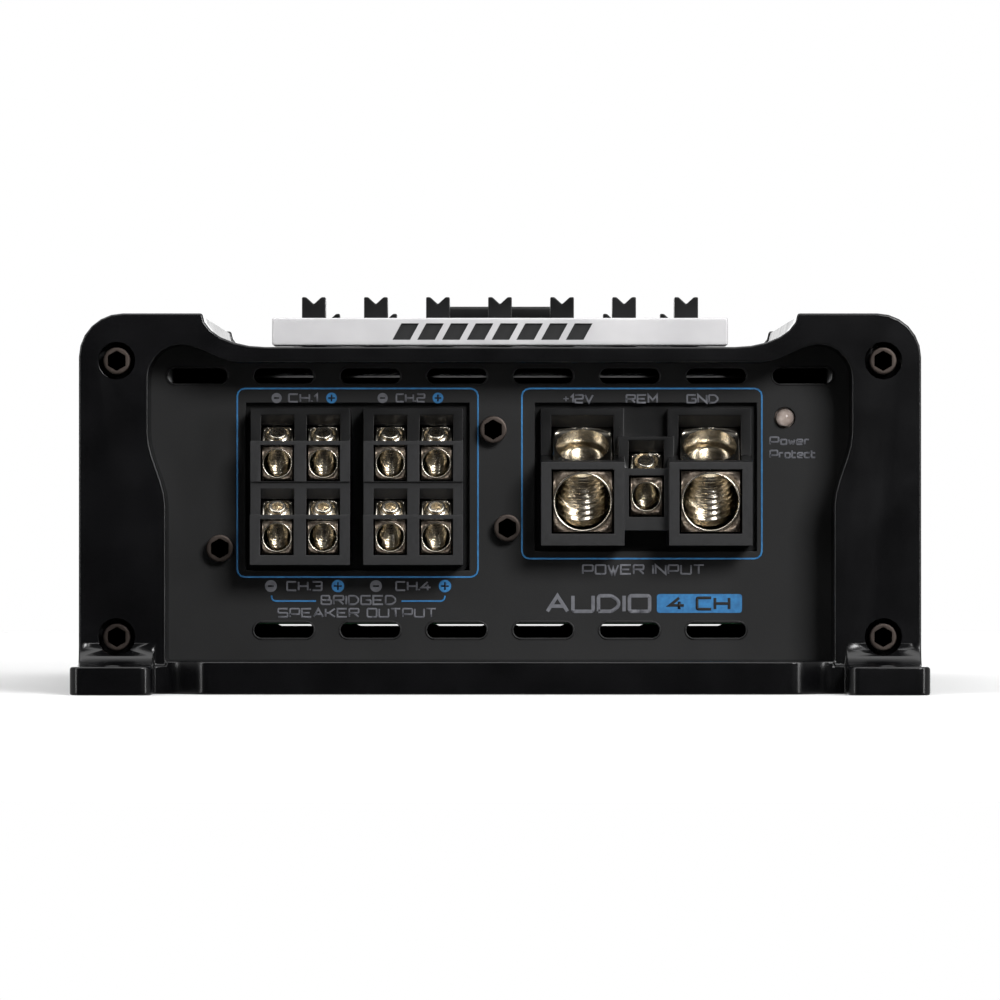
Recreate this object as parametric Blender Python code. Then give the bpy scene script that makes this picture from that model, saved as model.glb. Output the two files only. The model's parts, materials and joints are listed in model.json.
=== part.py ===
"""Compact four-channel car amplifier, modelled as the separate pieces it is assembled from.

Frame: metres, +Z up. The origin is on the mounting surface, under the middle of the case. The terminal
end faces -Y and the signal end faces +Y. Run with: blender --background --python part.py
"""

import math

import bmesh
import bpy
from mathutils import Matrix, Vector

MM = 0.001
GAP = 0.3 * MM  # air kept between pieces that touch
CUT_PAST = 1 * MM  # how far a cutter runs past the face it opens
JOIN_DEPTH = 1 * MM  # how far solids that are joined reach into each other
SMALL_ROUND = 12  # sides of a small screw or hole
LARGE_ROUND = 16

# ---- case: overall sizes -------------------------------------------------------------------------
CASE_LENGTH = 168 * MM  # over the faces of the two end caps
CASE_HALF_WIDTH = 73.9 * MM  # at the columns of an end cap
CASE_HEIGHT = 66.8 * MM  # to the top of the shoulders
CORNER_RADIUS = 7.7 * MM
SHOULDER_WIDTH = 21.7 * MM  # from the outer side to where the shoulder drops away
SWEEP_WIDTH = 11 * MM  # the quarter ellipse from a shoulder down to the dip
DIP_DEPTH = 5.9 * MM  # the dip in the middle of the top, under the fins
DIP_Z = CASE_HEIGHT - DIP_DEPTH

# ---- end caps: one casting, used at both ends ----------------------------------------------------
CAP_DEPTH = 12.7 * MM
OPENING_BOTTOM = 5.8 * MM  # also the height of the lip below the opening
OPENING_TOP_WALL = 2.7 * MM  # from the dip down to the top of the opening
OPENING_SIDE_WALL = 12.2 * MM  # at the wide part of the opening
OPENING_WAIST = 3.1 * MM  # how much narrower each side of its lower part is
WAIST_LOW = 33 * MM
WAIST_HIGH = 46 * MM
OPENING_HUMP = 3.1 * MM  # rise of the opening under each shoulder
HUMP_WIDTH = 10 * MM
OPENING_CORNER = 5.7 * MM
OPENING_SHOULDER_WALL = 5.5 * MM

LIP_REACH = 4.5 * MM  # how far the lip stands out of the cap's face
LIP_NOTCH_REACH = 0.5 * MM
LIP_HALF_WIDTH = 51 * MM  # of the straight part
NOTCH_START = 58 * MM
EAR_REACH = 11 * MM
EAR_WIDTH = 14.3 * MM
EAR_OVERHANG = 1.1 * MM  # the ears stand out past the columns
EAR_THICKNESS = 5 * MM
EAR_CORNER = 2 * MM
EAR_FILLET = 4 * MM  # between the ear and the column's face
EAR_HOLE_RADIUS = 2.2 * MM  # clears an M4 screw

# ---- screws that hold the caps -------------------------------------------------------------------
CAP_SCREW_INSET = 6.6 * MM  # from the case's side
CAP_SCREW_LOW = 10 * MM
CAP_SCREW_DROP = 8.3 * MM  # of the upper screws, from the top of the shoulders
CAP_SCREW_HIGH = CASE_HEIGHT - CAP_SCREW_DROP
SCREW_HEAD_RADIUS = 2.4 * MM
SCREW_HEAD_HEIGHT = 2.6 * MM
SCREW_SHANK_RADIUS = 1.45 * MM
SCREW_CHAMFER = 0.3 * MM
SCREW_CLEARANCE = 0.35 * MM  # round a shank
HEX_RADIUS = 1.55 * MM  # of the key socket, over its corners
HEX_DEPTH = 1.5 * MM
COUNTERBORE_RADIUS = 3.35 * MM
COUNTERBORE_DEPTH = 4.6 * MM
CAP_SCREW_LENGTH = 20 * MM  # of the shank

# ---- end panels ----------------------------------------------------------------------------------
PANEL_THICKNESS = 1.5 * MM
PANEL_INSET = 0.6 * MM  # its edge stands back from the case's outline
PANEL_DEPTH = CAP_DEPTH + GAP  # of its outer face, from the cap's face
PANEL_BACK = PANEL_DEPTH + PANEL_THICKNESS
SLOT_LENGTH = 10.5 * MM
SLOT_HEIGHT = 2.7 * MM
SLOT_PITCH = 15.3 * MM
SLOT_DROP = 4.9 * MM  # of the upper slots, from the dip
SLOT_TOP_Z = DIP_Z - SLOT_DROP
SLOT_BOTTOM_Z = 11 * MM
TOP_SLOTS = 8
BOTTOM_SLOTS = 6

# ---- heatsink ------------------------------------------------------------------------------------
SINK_INSET = 0.3 * MM  # the extrusion stands back from the caps' outline
WALL = 3.4 * MM
ROOF = 3.1 * MM
FIN_COUNT = 7
FIN_PITCH = 11 * MM
FIN_WIDTH = 4.2 * MM
FIN_HEIGHT = 9.1 * MM
FIN_LOW_HEIGHT = 5 * MM  # between the raised teeth at each end
TOOTH_LENGTH = 7 * MM
NOTCH_WIDTH = 2.7 * MM
NOTCH_DEPTH = 1.25 * MM
BOSS_WIDTH = 10.4 * MM  # the lumps that hold the screw ports, from the outer side
SINK_BOTTOM = 0.3 * MM
PLATE_THICKNESS = 1.6 * MM
PLATE_BOTTOM = 1.5 * MM
PLATE_TONGUE = 1.2 * MM  # how far the bottom plate enters its groove
LOW_BOSS_BOTTOM = 5 * MM
HIGH_BOSS_REACH = 4.2 * MM  # below the upper screws
HIGH_BOSS_BOTTOM = CAP_SCREW_HIGH - HIGH_BOSS_REACH
RAIL_REACH = 2.7 * MM
RAIL_THICKNESS = 1.3 * MM
SHOULDER_ROOF = 3.5 * MM

# ---- trim and badge ------------------------------------------------------------------------------
TRIM_HALF_WIDTH = 40 * MM
TRIM_HEIGHT = 4.8 * MM
TRIM_SETBACK = 0.8 * MM
TRIM_EDGE = 0.7 * MM
BADGE_HALF_WIDTH = 13 * MM
BADGE_LENGTH = 80 * MM
BADGE_THICKNESS = 2.8 * MM
BADGE_EDGE = 0.6 * MM

# ---- wire clamps and their set screws ------------------------------------------------------------
# A clamp's sizes are counted from its housing's nose (depth) and from its wire hole's axis (height).
CLAMP_SETBACK = 1.2 * MM
CLAMP_CLEARANCE = 0.3 * MM
TAB_THICKNESS = 0.8 * MM
NEAR_TAB = 2.5 * MM  # from a housing's back to the back of a solder tab
UPPER_TAB = 6 * MM  # the same for the upper row, whose tabs pass behind the lower row's
CLAMP_BACK_WALL = 1 * MM
SPEAKER_CLAMP = dict(
    half_width=2.65 * MM,
    below=2.85 * MM,
    front_above=2.9 * MM,
    rim_above=5 * MM,
    top_above=6.4 * MM,
    length=12.8 * MM,
    wire_radius=2.55 * MM,
    screw_radius=1.95 * MM,
    tilt=math.radians(45),
    screw_down=9.1 * MM,
    screw_up=0.7 * MM,
    socket_radius=1.15 * MM,
    segments=LARGE_ROUND,
)
REMOTE_CLAMP = dict(
    SPEAKER_CLAMP,
    half_width=2.8 * MM,
    below=3.3 * MM,
    front_above=3.4 * MM,
    rim_above=6.2 * MM,
    top_above=7.6 * MM,
    length=13.8 * MM,
    screw_down=10.6 * MM,
    screw_up=0.2 * MM,
)
POWER_CLAMP = dict(
    half_width=5.2 * MM,
    below=5.3 * MM,
    front_above=5.4 * MM,
    rim_above=9.9 * MM,
    top_above=13.2 * MM,
    length=21.8 * MM,
    wire_radius=5.1 * MM,
    screw_radius=4.6 * MM,
    tilt=math.radians(38),
    screw_down=15.5 * MM,
    screw_up=-3 * MM,
    socket_radius=2.9 * MM,
    segments=LARGE_ROUND,
)
SET_SCREW_TAPER = 0.26  # of its radius, at the tip
SET_SCREW_SOCKET = 1.6  # depth of the key socket in its own radii
SET_SCREW_WAY_OUT = 22 * MM  # length of the channel that leads a set screw out
BORE_CLEARANCE = 0.2 * MM  # between a set screw and its threaded hole
CHANNEL_CLEARANCE = 0.35 * MM  # round a set screw's way out through the plastic

# ---- speaker terminal block ----------------------------------------------------------------------
SPEAKER_X = -25.2 * MM  # middle of the block
BLOCK_PITCH = 19.9 * MM
CELL_PITCH = 8.07 * MM
TOWER_WIDTH = 17.6 * MM
LOW_WIRE_Z = 27.5 * MM
ROW_PITCH = 13 * MM
SPEAKER_REACH = 11.5 * MM  # of the lower nose in front of the panel
LOW_NOSE = PANEL_DEPTH - SPEAKER_REACH  # depth from the cap's face
TIER_STEP = 2.4 * MM
NOSE_TOP = 3.95 * MM  # above the wire's axis
WINDOW_STEP = 3 * MM  # from a nose back to the wall with the screw windows
LOW_NOSE_BOTTOM = 4.9 * MM  # below the wire's axis
HIGH_NOSE_BOTTOM = 3.3 * MM
TOWER_TOP = 9.7 * MM  # above the upper wire's axis
SPEAKER_BACK = PANEL_BACK + 4.5 * MM

# ---- power terminal block ------------------------------------------------------------------------
POWER_X = 25.8 * MM  # the remote terminal is in the middle
POWER_PITCH = 22.5 * MM  # between the two large terminals
POWER_WIRE_Z = 33.7 * MM
POWER_REACH = 10.7 * MM  # of the large noses in front of the panel
POWER_NOSE = PANEL_DEPTH - POWER_REACH
POWER_CELL_WIDTH = 14.7 * MM
POWER_NOSE_BOTTOM = 7.7 * MM
POWER_NOSE_TOP = 7 * MM
POWER_SHELF_RISE = 1.2 * MM
POWER_WINDOW_STEP = 9 * MM
POWER_TOP = 16.5 * MM
POWER_BACK = PANEL_BACK + 12 * MM
REMOTE_WIRE_Z = 34.65 * MM
REMOTE_REACH = 7.7 * MM  # of the remote nose in front of the panel
REMOTE_NOSE = PANEL_DEPTH - REMOTE_REACH
REMOTE_NOSE_BOTTOM = 6 * MM
REMOTE_NOSE_TOP = 4.95 * MM
REMOTE_WINDOW_STEP = 3.5 * MM
REMOTE_TOP = 10.6 * MM

# ---- flanges that hold the blocks behind the panel ----------------------------------------------
FLANGE_THICKNESS = 2.5 * MM
FLANGE_MARGIN = 2 * MM  # past the panel's cut-out
CUTOUT_MARGIN = 1 * MM  # round a block
FLANGE_SCREWS_SPEAKER = ((-49.5 * MM, 25.5 * MM), (-1.2 * MM, 46.5 * MM))
FLANGE_SCREWS_POWER = ((1.3 * MM, 29.1 * MM),)
FLANGE_EAR_RADIUS = 3.9 * MM
PANEL_SCREW_HEAD_HEIGHT = 2.2 * MM
PANEL_SCREW_LENGTH = 5.5 * MM

LED_X = 50.4 * MM
LED_Z = 48.6 * MM
LED_RADIUS = 1.55 * MM
LED_REACH = 2.2 * MM  # in front of the panel
LED_FLANGE_RADIUS = 1.95 * MM
LED_FLANGE_THICKNESS = 1 * MM

# ---- signal end ----------------------------------------------------------------------------------
ROW_Z = (28.5 * MM, 43.5 * MM)  # heights of the lower and the upper row of controls
JACK_X = (-44 * MM, -28 * MM)
JACK_RADIUS = 4.2 * MM
JACK_REACH = 8.5 * MM  # in front of the panel
JACK_BORE_RADIUS = 1.6 * MM
JACK_BORE_DEPTH = 9 * MM
JACK_BLOCK_MARGIN = 8 * MM
JACK_BLOCK_DEPTH = 6.5 * MM
KNOB_X = (0.0, 18 * MM)  # level and crossover frequency
KNOB_RADIUS = 3.6 * MM
KNOB_REACH = 6 * MM
KNOB_EDGE = 0.4 * MM
KNOB_GROOVE = 1.1 * MM  # width and depth of the pointer groove
KNOB_SHAFT_RADIUS = 1.5 * MM
KNOB_SHAFT_LENGTH = 5.5 * MM
KNOB_CLEARANCE = 0.6 * MM
POT_HALF_SIDE = 4.8 * MM
SWITCH_X = 38 * MM
SLIDER_HALF_WIDTH = 1.5 * MM
SLIDER_HALF_HEIGHT = 1.3 * MM
SLIDER_REACH = 2.2 * MM
SLIDER_LENGTH = 6.4 * MM
SLIDER_EDGE = 0.3 * MM
SLIDER_TRAVEL = 2 * MM  # to each side of its middle position
SWITCH_HALF_WIDTH = 6 * MM
SWITCH_HALF_HEIGHT = 3.4 * MM
CONTROL_BODY_DEPTH = 6.2 * MM
INPUT_BOARD_HALF_WIDTH = 48 * MM
INPUT_BOARD_DROP = 6.9 * MM  # of its upper edge, from the dip
INPUT_BOARD_TOP = DIP_Z - INPUT_BOARD_DROP
INPUT_BOARD_FRONT = PANEL_BACK + GAP + CONTROL_BODY_DEPTH + 1 * MM

# ---- boards and the parts on them ----------------------------------------------------------------
BOARD_THICKNESS = 1.6 * MM
BOARD_Z = 12 * MM  # underside of the main board
BOARD_SETBACK = 1.5 * MM  # of its edges, behind the panels
BOARD_FRONT = PANEL_BACK + BOARD_SETBACK
TOROID_RADIUS = 12 * MM  # of the core's centre line
TOROID_SECTION = 6.2 * MM
TOROID_X = -24 * MM
TOROID_Y = 14 * MM
CAPACITOR_RADIUS = 8 * MM
CAPACITOR_HEIGHT = 28 * MM
CAPACITOR_X = 30 * MM
CAPACITOR_Y = (-8 * MM, 14 * MM)
BANK_COUNT = 6  # transistors along each side wall
BANK_PITCH = 13 * MM
BANK_BAR = 3.2 * MM  # thickness of the bar, and of a package behind it
BANK_BAR_HEIGHT = 6 * MM
BANK_Z = 24 * MM
PACKAGE_HALF_WIDTH = 5 * MM
PACKAGE_BELOW = 4 * MM  # under the bar
PACKAGE_HEIGHT = 15 * MM

BOARD_TOP = BOARD_Z + BOARD_THICKNESS
LOW_BOSS_TOP = BOARD_Z - GAP
SINK_FRONT = PANEL_BACK + GAP
SINK_LENGTH = CASE_LENGTH - 2 * SINK_FRONT
DIP_HALF_WIDTH = CASE_HALF_WIDTH - SHOULDER_WIDTH - SWEEP_WIDTH
SCREW_X = CASE_HALF_WIDTH - CAP_SCREW_INSET
HOLE_RADIUS = SCREW_SHANK_RADIUS + SCREW_CLEARANCE


# ---- modelling helpers ---------------------------------------------------------------------------
def clear_scene():
    for old in list(bpy.data.objects):
        bpy.data.objects.remove(old, do_unlink=True)


def finish(name, color, roughness, metallic=0.0, alpha=1.0):
    """A Principled material for one kind of surface."""
    made = bpy.data.materials.new(name)
    made.use_nodes = True
    shader = made.node_tree.nodes["Principled BSDF"]
    shader.inputs["Base Color"].default_value = (*color, 1.0)
    shader.inputs["Roughness"].default_value = roughness
    shader.inputs["Metallic"].default_value = metallic
    shader.inputs["Alpha"].default_value = alpha
    return made


def to_object(shape, name):
    bmesh.ops.recalc_face_normals(shape, faces=shape.faces)
    mesh = bpy.data.meshes.new(name)
    shape.to_mesh(mesh)
    shape.free()
    made = bpy.data.objects.new(name, mesh)
    bpy.context.scene.collection.objects.link(made)
    return made


def prism(name, outline, axis, low, high):
    """An outline of (u, v) points extruded from low to high along X, Y or Z.

    Along X the points are (y, z), along Y they are (x, z), and along Z they are (x, y)."""
    place = {
        "X": lambda u, v: (low, u, v),
        "Y": lambda u, v: (u, low, v),
        "Z": lambda u, v: (u, v, low),
    }[axis]
    push = Vector({"X": (1, 0, 0), "Y": (0, 1, 0), "Z": (0, 0, 1)}[axis]) * (high - low)
    shape = bmesh.new()
    face = shape.faces.new([shape.verts.new(place(u, v)) for u, v in outline])
    grown = bmesh.ops.extrude_face_region(shape, geom=[face])
    moved = [item for item in grown["geom"] if isinstance(item, bmesh.types.BMVert)]
    bmesh.ops.translate(shape, verts=moved, vec=push)
    return to_object(shape, name)


def box(name, low, high):
    shape = bmesh.new()
    bmesh.ops.create_cube(shape, size=1.0)
    low, high = Vector(low), Vector(high)
    bmesh.ops.scale(shape, verts=shape.verts, vec=high - low)
    bmesh.ops.translate(shape, verts=shape.verts, vec=(low + high) / 2)
    return to_object(shape, name)


def turned(name, profile, segments, turn=0.0):
    """A closed solid turned about Z from (radius, z) points that start and end on the axis."""
    shape = bmesh.new()
    rings = []
    for radius, z in profile:
        if radius == 0:
            rings.append([shape.verts.new((0, 0, z))])
            continue
        angles = [turn + 2 * math.pi * i / segments for i in range(segments)]
        rings.append([shape.verts.new((radius * math.cos(a), radius * math.sin(a), z)) for a in angles])
    for lower, upper in zip(rings, rings[1:]):
        for i in range(segments):
            j = (i + 1) % segments
            low_pair = [lower[i % len(lower)], lower[j % len(lower)]]
            high_pair = [upper[j % len(upper)], upper[i % len(upper)]]
            shape.faces.new(list(dict.fromkeys(low_pair + high_pair)))
    return to_object(shape, name)


def cylinder(name, radius, low, high, segments, turn=0.0):
    return turned(name, [(0, low), (radius, low), (radius, high), (0, high)], segments, turn)


def aimed(made, direction, at):
    """Turns a piece built along +Z to the direction, and puts its origin at a point."""
    made.rotation_mode = "QUATERNION"
    made.rotation_quaternion = Vector((0, 0, 1)).rotation_difference(Vector(direction))
    made.location = at
    return made


def evaluated_mesh(made):
    bpy.context.view_layer.update()
    graph = bpy.context.evaluated_depsgraph_get()
    return bpy.data.meshes.new_from_object(made.evaluated_get(graph), depsgraph=graph)


def combine(made, others, operation):
    """Joins other solids to a piece, or cuts them from it, and removes them."""
    for other in others:
        step = made.modifiers.new(operation.lower(), "BOOLEAN")
        step.operation = operation
        step.object = other
        step.solver = "EXACT"
    mesh = evaluated_mesh(made)
    made.modifiers.clear()
    made.data = mesh
    for other in others:
        bpy.data.objects.remove(other, do_unlink=True)
    return made


def cut(made, cutters):
    return combine(made, cutters, "DIFFERENCE")


def join(made, others):
    return combine(made, others, "UNION")


def piece(made, name, surface, parent=None):
    """Names a finished piece, gives it its material and parents it to its end of the case."""
    made.name = name
    made.data.name = name
    made.data.materials.clear()
    made.data.materials.append(surface)
    made.data.shade_smooth()
    made.data.set_sharp_from_angle(angle=math.radians(30))
    made.parent = parent
    return made


def arc(center, radius, start, end, steps, squash=1.0):
    """Points on a circle's arc, in degrees; squash shortens it along the second axis."""
    angles = [math.radians(start + (end - start) * i / steps) for i in range(steps + 1)]
    return [(center[0] + radius * math.cos(a), center[1] + radius * squash * math.sin(a)) for a in angles]


def ease(start, end, steps):
    """Points of a smooth S from start to end, level along the first axis at both ends."""
    shares = [i / steps for i in range(steps + 1)]
    return [
        (start[0] + (end[0] - start[0]) * s, start[1] + (end[1] - start[1]) * s * s * (3 - 2 * s))
        for s in shares
    ]


def swapped(points):
    return [(b, a) for a, b in points]


def mirrored(right_half):
    """Closes an outline from its right half, which runs from the bottom to the top."""
    return right_half + [(-x, z) for x, z in reversed(right_half)]


def stadium(x, z, length, height, steps=3):
    """Outline of a slot with round ends."""
    r = height / 2
    right = arc((x + length / 2 - r, z), r, -90, 90, steps)
    left = arc((x - length / 2 + r, z), r, 90, 270, steps)
    return right + left


# ---- outlines of the case ------------------------------------------------------------------------
def crown(inset):
    """The right shoulder of the case, from its outer side up and down into the dip."""
    outer = CASE_HALF_WIDTH - inset
    top = CASE_HEIGHT - inset
    corner = CORNER_RADIUS - inset
    sweep = SWEEP_WIDTH
    drop = DIP_DEPTH
    start = DIP_HALF_WIDTH + inset
    shoulder = arc((outer - corner, top - corner), corner, 0, 90, 6)
    fall = arc((start, top), sweep, 0, -90, 6, squash=drop / sweep)
    return shoulder + fall


def case_outline(inset, bottom):
    return mirrored([(CASE_HALF_WIDTH - inset, bottom)] + crown(inset))


def opening_outline():
    """The opening of an end cap: waisted below, with a round hump under each shoulder."""
    wide = CASE_HALF_WIDTH - OPENING_SIDE_WALL
    narrow = wide - OPENING_WAIST
    top = DIP_Z - OPENING_TOP_WALL
    hump = CASE_HEIGHT - OPENING_SHOULDER_WALL
    corner = (wide - OPENING_CORNER, hump - OPENING_CORNER)
    right = [(narrow, OPENING_BOTTOM)]
    right += swapped(ease((WAIST_LOW, narrow), (WAIST_HIGH, wide), 6))
    right += arc(corner, OPENING_CORNER, 0, 90, 5)
    right += ease((corner[0], hump), (corner[0] - HUMP_WIDTH, top), 6)[1:]
    return mirrored(right)


def screw_places():
    return [(side * SCREW_X, z) for side in (-1, 1) for z in (CAP_SCREW_LOW, CAP_SCREW_HIGH)]


# ---- end caps ------------------------------------------------------------------------------------
def foot_outline():
    """The plate under a cap, seen from above: lip, notches and ears. Depth is the second axis."""
    outer = CASE_HALF_WIDTH + EAR_OVERHANG
    inner = outer - EAR_WIDTH
    right = ease((LIP_HALF_WIDTH, -LIP_REACH), (NOTCH_START, -LIP_NOTCH_REACH), 6)
    right += [(inner, -LIP_NOTCH_REACH)]
    right += arc((inner + EAR_CORNER, EAR_CORNER - EAR_REACH), EAR_CORNER, 180, 270, 3)
    right += arc((outer - EAR_CORNER, EAR_CORNER - EAR_REACH), EAR_CORNER, 270, 360, 3)
    right += [(outer, CAP_DEPTH)]
    return mirrored(right)


def end_cap(name, surface, parent):
    cap = prism("frame", case_outline(0, 0), "Y", 0, CAP_DEPTH)
    narrow = CASE_HALF_WIDTH - OPENING_SIDE_WALL - OPENING_WAIST
    sweep = ease((LIP_HALF_WIDTH, -LIP_REACH), (NOTCH_START, -LIP_NOTCH_REACH), 6)
    lip_outline = mirrored(sweep + [(narrow, -LIP_NOTCH_REACH), (narrow, JOIN_DEPTH)])
    lip = prism("lip", lip_outline, "Z", 0, OPENING_BOTTOM)
    foot = prism("foot", foot_outline(), "Z", 0, EAR_THICKNESS)
    fillets = []
    for side in (-1, 1):
        center = (-EAR_FILLET, EAR_THICKNESS + EAR_FILLET)
        root = EAR_THICKNESS - JOIN_DEPTH
        section = [(JOIN_DEPTH, root), (JOIN_DEPTH, EAR_THICKNESS + EAR_FILLET)]
        section += arc(center, EAR_FILLET, 0, -90, 5) + [(-EAR_FILLET, root)]
        edges = sorted((side * (CASE_HALF_WIDTH + EAR_OVERHANG - EAR_WIDTH), side * CASE_HALF_WIDTH))
        fillets.append(prism("fillet", section, "X", *edges))
    cut(cap, [prism("opening", opening_outline(), "Y", -CUT_PAST, CAP_DEPTH + CUT_PAST)])
    join(cap, [lip, foot, *fillets])
    cutters = []
    for x, z in screw_places():
        inward = (0, 1, 0)
        bore = cylinder("bore", HOLE_RADIUS, -CUT_PAST, CAP_DEPTH + CUT_PAST, SMALL_ROUND)
        cutters.append(aimed(bore, inward, (x, 0, z)))
        outside = -EAR_FILLET - CUT_PAST
        counterbore = cylinder("counterbore", COUNTERBORE_RADIUS, outside, COUNTERBORE_DEPTH, LARGE_ROUND)
        cutters.append(aimed(counterbore, inward, (x, 0, z)))
    for side in (-1, 1):
        at = (side * (CASE_HALF_WIDTH + EAR_OVERHANG - EAR_WIDTH / 2), -EAR_REACH / 2, 0)
        hole = cylinder("ear hole", EAR_HOLE_RADIUS, -CUT_PAST, EAR_THICKNESS + CUT_PAST, LARGE_ROUND)
        cutters.append(aimed(hole, (0, 0, 1), at))
    cut(cap, cutters)
    return piece(cap, name, surface, parent)


# ---- end panels ----------------------------------------------------------------------------------
def slot_cutters(count, z):
    low, high = PANEL_DEPTH - CUT_PAST, PANEL_BACK + CUT_PAST
    middles = [(i - (count - 1) / 2) * SLOT_PITCH for i in range(count)]
    return [prism("slot", stadium(x, z, SLOT_LENGTH, SLOT_HEIGHT), "Y", low, high) for x in middles]


def hole_through_panel(x, z, radius, segments=SMALL_ROUND):
    made = cylinder("hole", radius, PANEL_DEPTH - CUT_PAST, PANEL_BACK + CUT_PAST, segments)
    return aimed(made, (0, 1, 0), (x, 0, z))


def window_through_panel(low_x, low_z, high_x, high_z):
    low = (low_x, PANEL_DEPTH - CUT_PAST, low_z)
    return box("window", low, (high_x, PANEL_BACK + CUT_PAST, high_z))


def panel_blank():
    blank = prism("panel", case_outline(PANEL_INSET, PANEL_INSET), "Y", PANEL_DEPTH, PANEL_BACK)
    cutters = slot_cutters(TOP_SLOTS, SLOT_TOP_Z) + slot_cutters(BOTTOM_SLOTS, SLOT_BOTTOM_Z)
    cutters += [hole_through_panel(x, z, HOLE_RADIUS) for x, z in screw_places()]
    return blank, cutters


def speaker_span():
    """Low x, low z, high x and high z of the speaker block's towers."""
    half = BLOCK_PITCH / 2 + TOWER_WIDTH / 2
    top = LOW_WIRE_Z + ROW_PITCH + TOWER_TOP
    return SPEAKER_X - half, LOW_WIRE_Z - LOW_NOSE_BOTTOM, SPEAKER_X + half, top


def power_span():
    half = POWER_PITCH / 2 + POWER_CELL_WIDTH / 2
    return POWER_X - half, POWER_WIRE_Z - POWER_NOSE_BOTTOM, POWER_X + half, POWER_WIRE_Z + POWER_TOP


def grown(span, margin):
    return span[0] - margin, span[1] - margin, span[2] + margin, span[3] + margin


def terminal_panel(surface, parent):
    blank, cutters = panel_blank()
    for span in (speaker_span(), power_span()):
        cutters.append(window_through_panel(*grown(span, CUTOUT_MARGIN)))
    for x, z in FLANGE_SCREWS_SPEAKER + FLANGE_SCREWS_POWER:
        cutters.append(hole_through_panel(x, z, HOLE_RADIUS))
    cutters.append(hole_through_panel(LED_X, LED_Z, LED_RADIUS + GAP))
    return piece(cut(blank, cutters), "terminal_panel", surface, parent)


def signal_panel(surface, parent):
    blank, cutters = panel_blank()
    for z in ROW_Z:
        cutters += [hole_through_panel(x, z, JACK_RADIUS + GAP, LARGE_ROUND) for x in JACK_X]
        cutters += [hole_through_panel(x, z, KNOB_RADIUS + KNOB_CLEARANCE, LARGE_ROUND) for x in KNOB_X]
        reach = SLIDER_HALF_WIDTH + SLIDER_TRAVEL + KNOB_CLEARANCE
        rise = SLIDER_HALF_HEIGHT + KNOB_CLEARANCE
        cutters.append(window_through_panel(SWITCH_X - reach, z - rise, SWITCH_X + reach, z + rise))
    return piece(cut(blank, cutters), "signal_panel", surface, parent)


# ---- heatsink and bottom plate -------------------------------------------------------------------
def fin_outline(x):
    half = FIN_WIDTH / 2
    notch = NOTCH_WIDTH / 2
    top = DIP_Z + FIN_HEIGHT
    tip = [(half, DIP_Z), (half, top), (notch, top), (0, top - NOTCH_DEPTH)]
    tip += [(-notch, top), (-half, top), (-half, DIP_Z)]
    return [(x + u, z) for u, z in tip]


def sink_outline():
    """Cross-section of the extrusion: fins on top, screw ports in the corners, grooves in the walls."""
    outer = CASE_HALF_WIDTH - SINK_INSET
    inner = outer - WALL
    boss = outer - BOSS_WIDTH
    ceiling = DIP_Z - ROOF
    groove_top = PLATE_BOTTOM + PLATE_THICKNESS + GAP
    rail_bottom = BOARD_TOP + GAP
    high_ceiling = CASE_HEIGHT - SINK_INSET - SHOULDER_ROOF
    right = [(0, ceiling), (DIP_HALF_WIDTH + SWEEP_WIDTH * 0.9, ceiling)]
    right += [(DIP_HALF_WIDTH + SWEEP_WIDTH + SHOULDER_ROOF, high_ceiling), (boss, high_ceiling)]
    right += [(boss, HIGH_BOSS_BOTTOM), (inner, HIGH_BOSS_BOTTOM), (inner, rail_bottom + RAIL_THICKNESS)]
    right += [(inner - RAIL_REACH, rail_bottom + RAIL_THICKNESS), (inner - RAIL_REACH, rail_bottom)]
    right += [(inner, rail_bottom), (inner, LOW_BOSS_TOP), (boss, LOW_BOSS_TOP), (boss, LOW_BOSS_BOTTOM)]
    right += [(inner, LOW_BOSS_BOTTOM), (inner, groove_top), (inner + PLATE_TONGUE + GAP, groove_top)]
    right += [(inner + PLATE_TONGUE + GAP, PLATE_BOTTOM - GAP), (inner, PLATE_BOTTOM - GAP)]
    right += [(inner, SINK_BOTTOM), (outer, SINK_BOTTOM)]
    right += crown(SINK_INSET)[:-1] + [(DIP_HALF_WIDTH + SINK_INSET, DIP_Z)]
    left = [(-x, z) for x, z in reversed(right)][:-1]
    fins = []
    for i in reversed(range(FIN_COUNT)):
        fins += fin_outline((i - (FIN_COUNT - 1) / 2) * FIN_PITCH)
    return right + fins + left


def heatsink(surface):
    half = SINK_LENGTH / 2
    sink = prism("heatsink", sink_outline(), "Y", -half, half)
    cutters = []
    for x, z in screw_places():
        port = cylinder("port", HOLE_RADIUS, -half - CUT_PAST, half + CUT_PAST, SMALL_ROUND)
        cutters.append(aimed(port, (0, 1, 0), (x, 0, z)))
    reach = FIN_COUNT * FIN_PITCH / 2
    low = (-reach, TOOTH_LENGTH - half, DIP_Z + FIN_LOW_HEIGHT)
    cutters.append(box("mill", low, (reach, half - TOOTH_LENGTH, DIP_Z + FIN_HEIGHT + CUT_PAST)))
    return piece(cut(sink, cutters), "heatsink", surface)


def bottom_plate(surface):
    reach = CASE_HALF_WIDTH - SINK_INSET - WALL + PLATE_TONGUE
    half = SINK_LENGTH / 2
    top = PLATE_BOTTOM + PLATE_THICKNESS
    return piece(box("plate", (-reach, -half, PLATE_BOTTOM), (reach, half, top)), "bottom_plate", surface)


# ---- trim bars and badge -------------------------------------------------------------------------
def rounded_box(name, low, high, edge):
    made = box(name, low, high)
    step = made.modifiers.new("edges", "BEVEL")
    step.width = edge
    step.segments = 2
    mesh = evaluated_mesh(made)
    made.modifiers.clear()
    made.data = mesh
    return made


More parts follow.
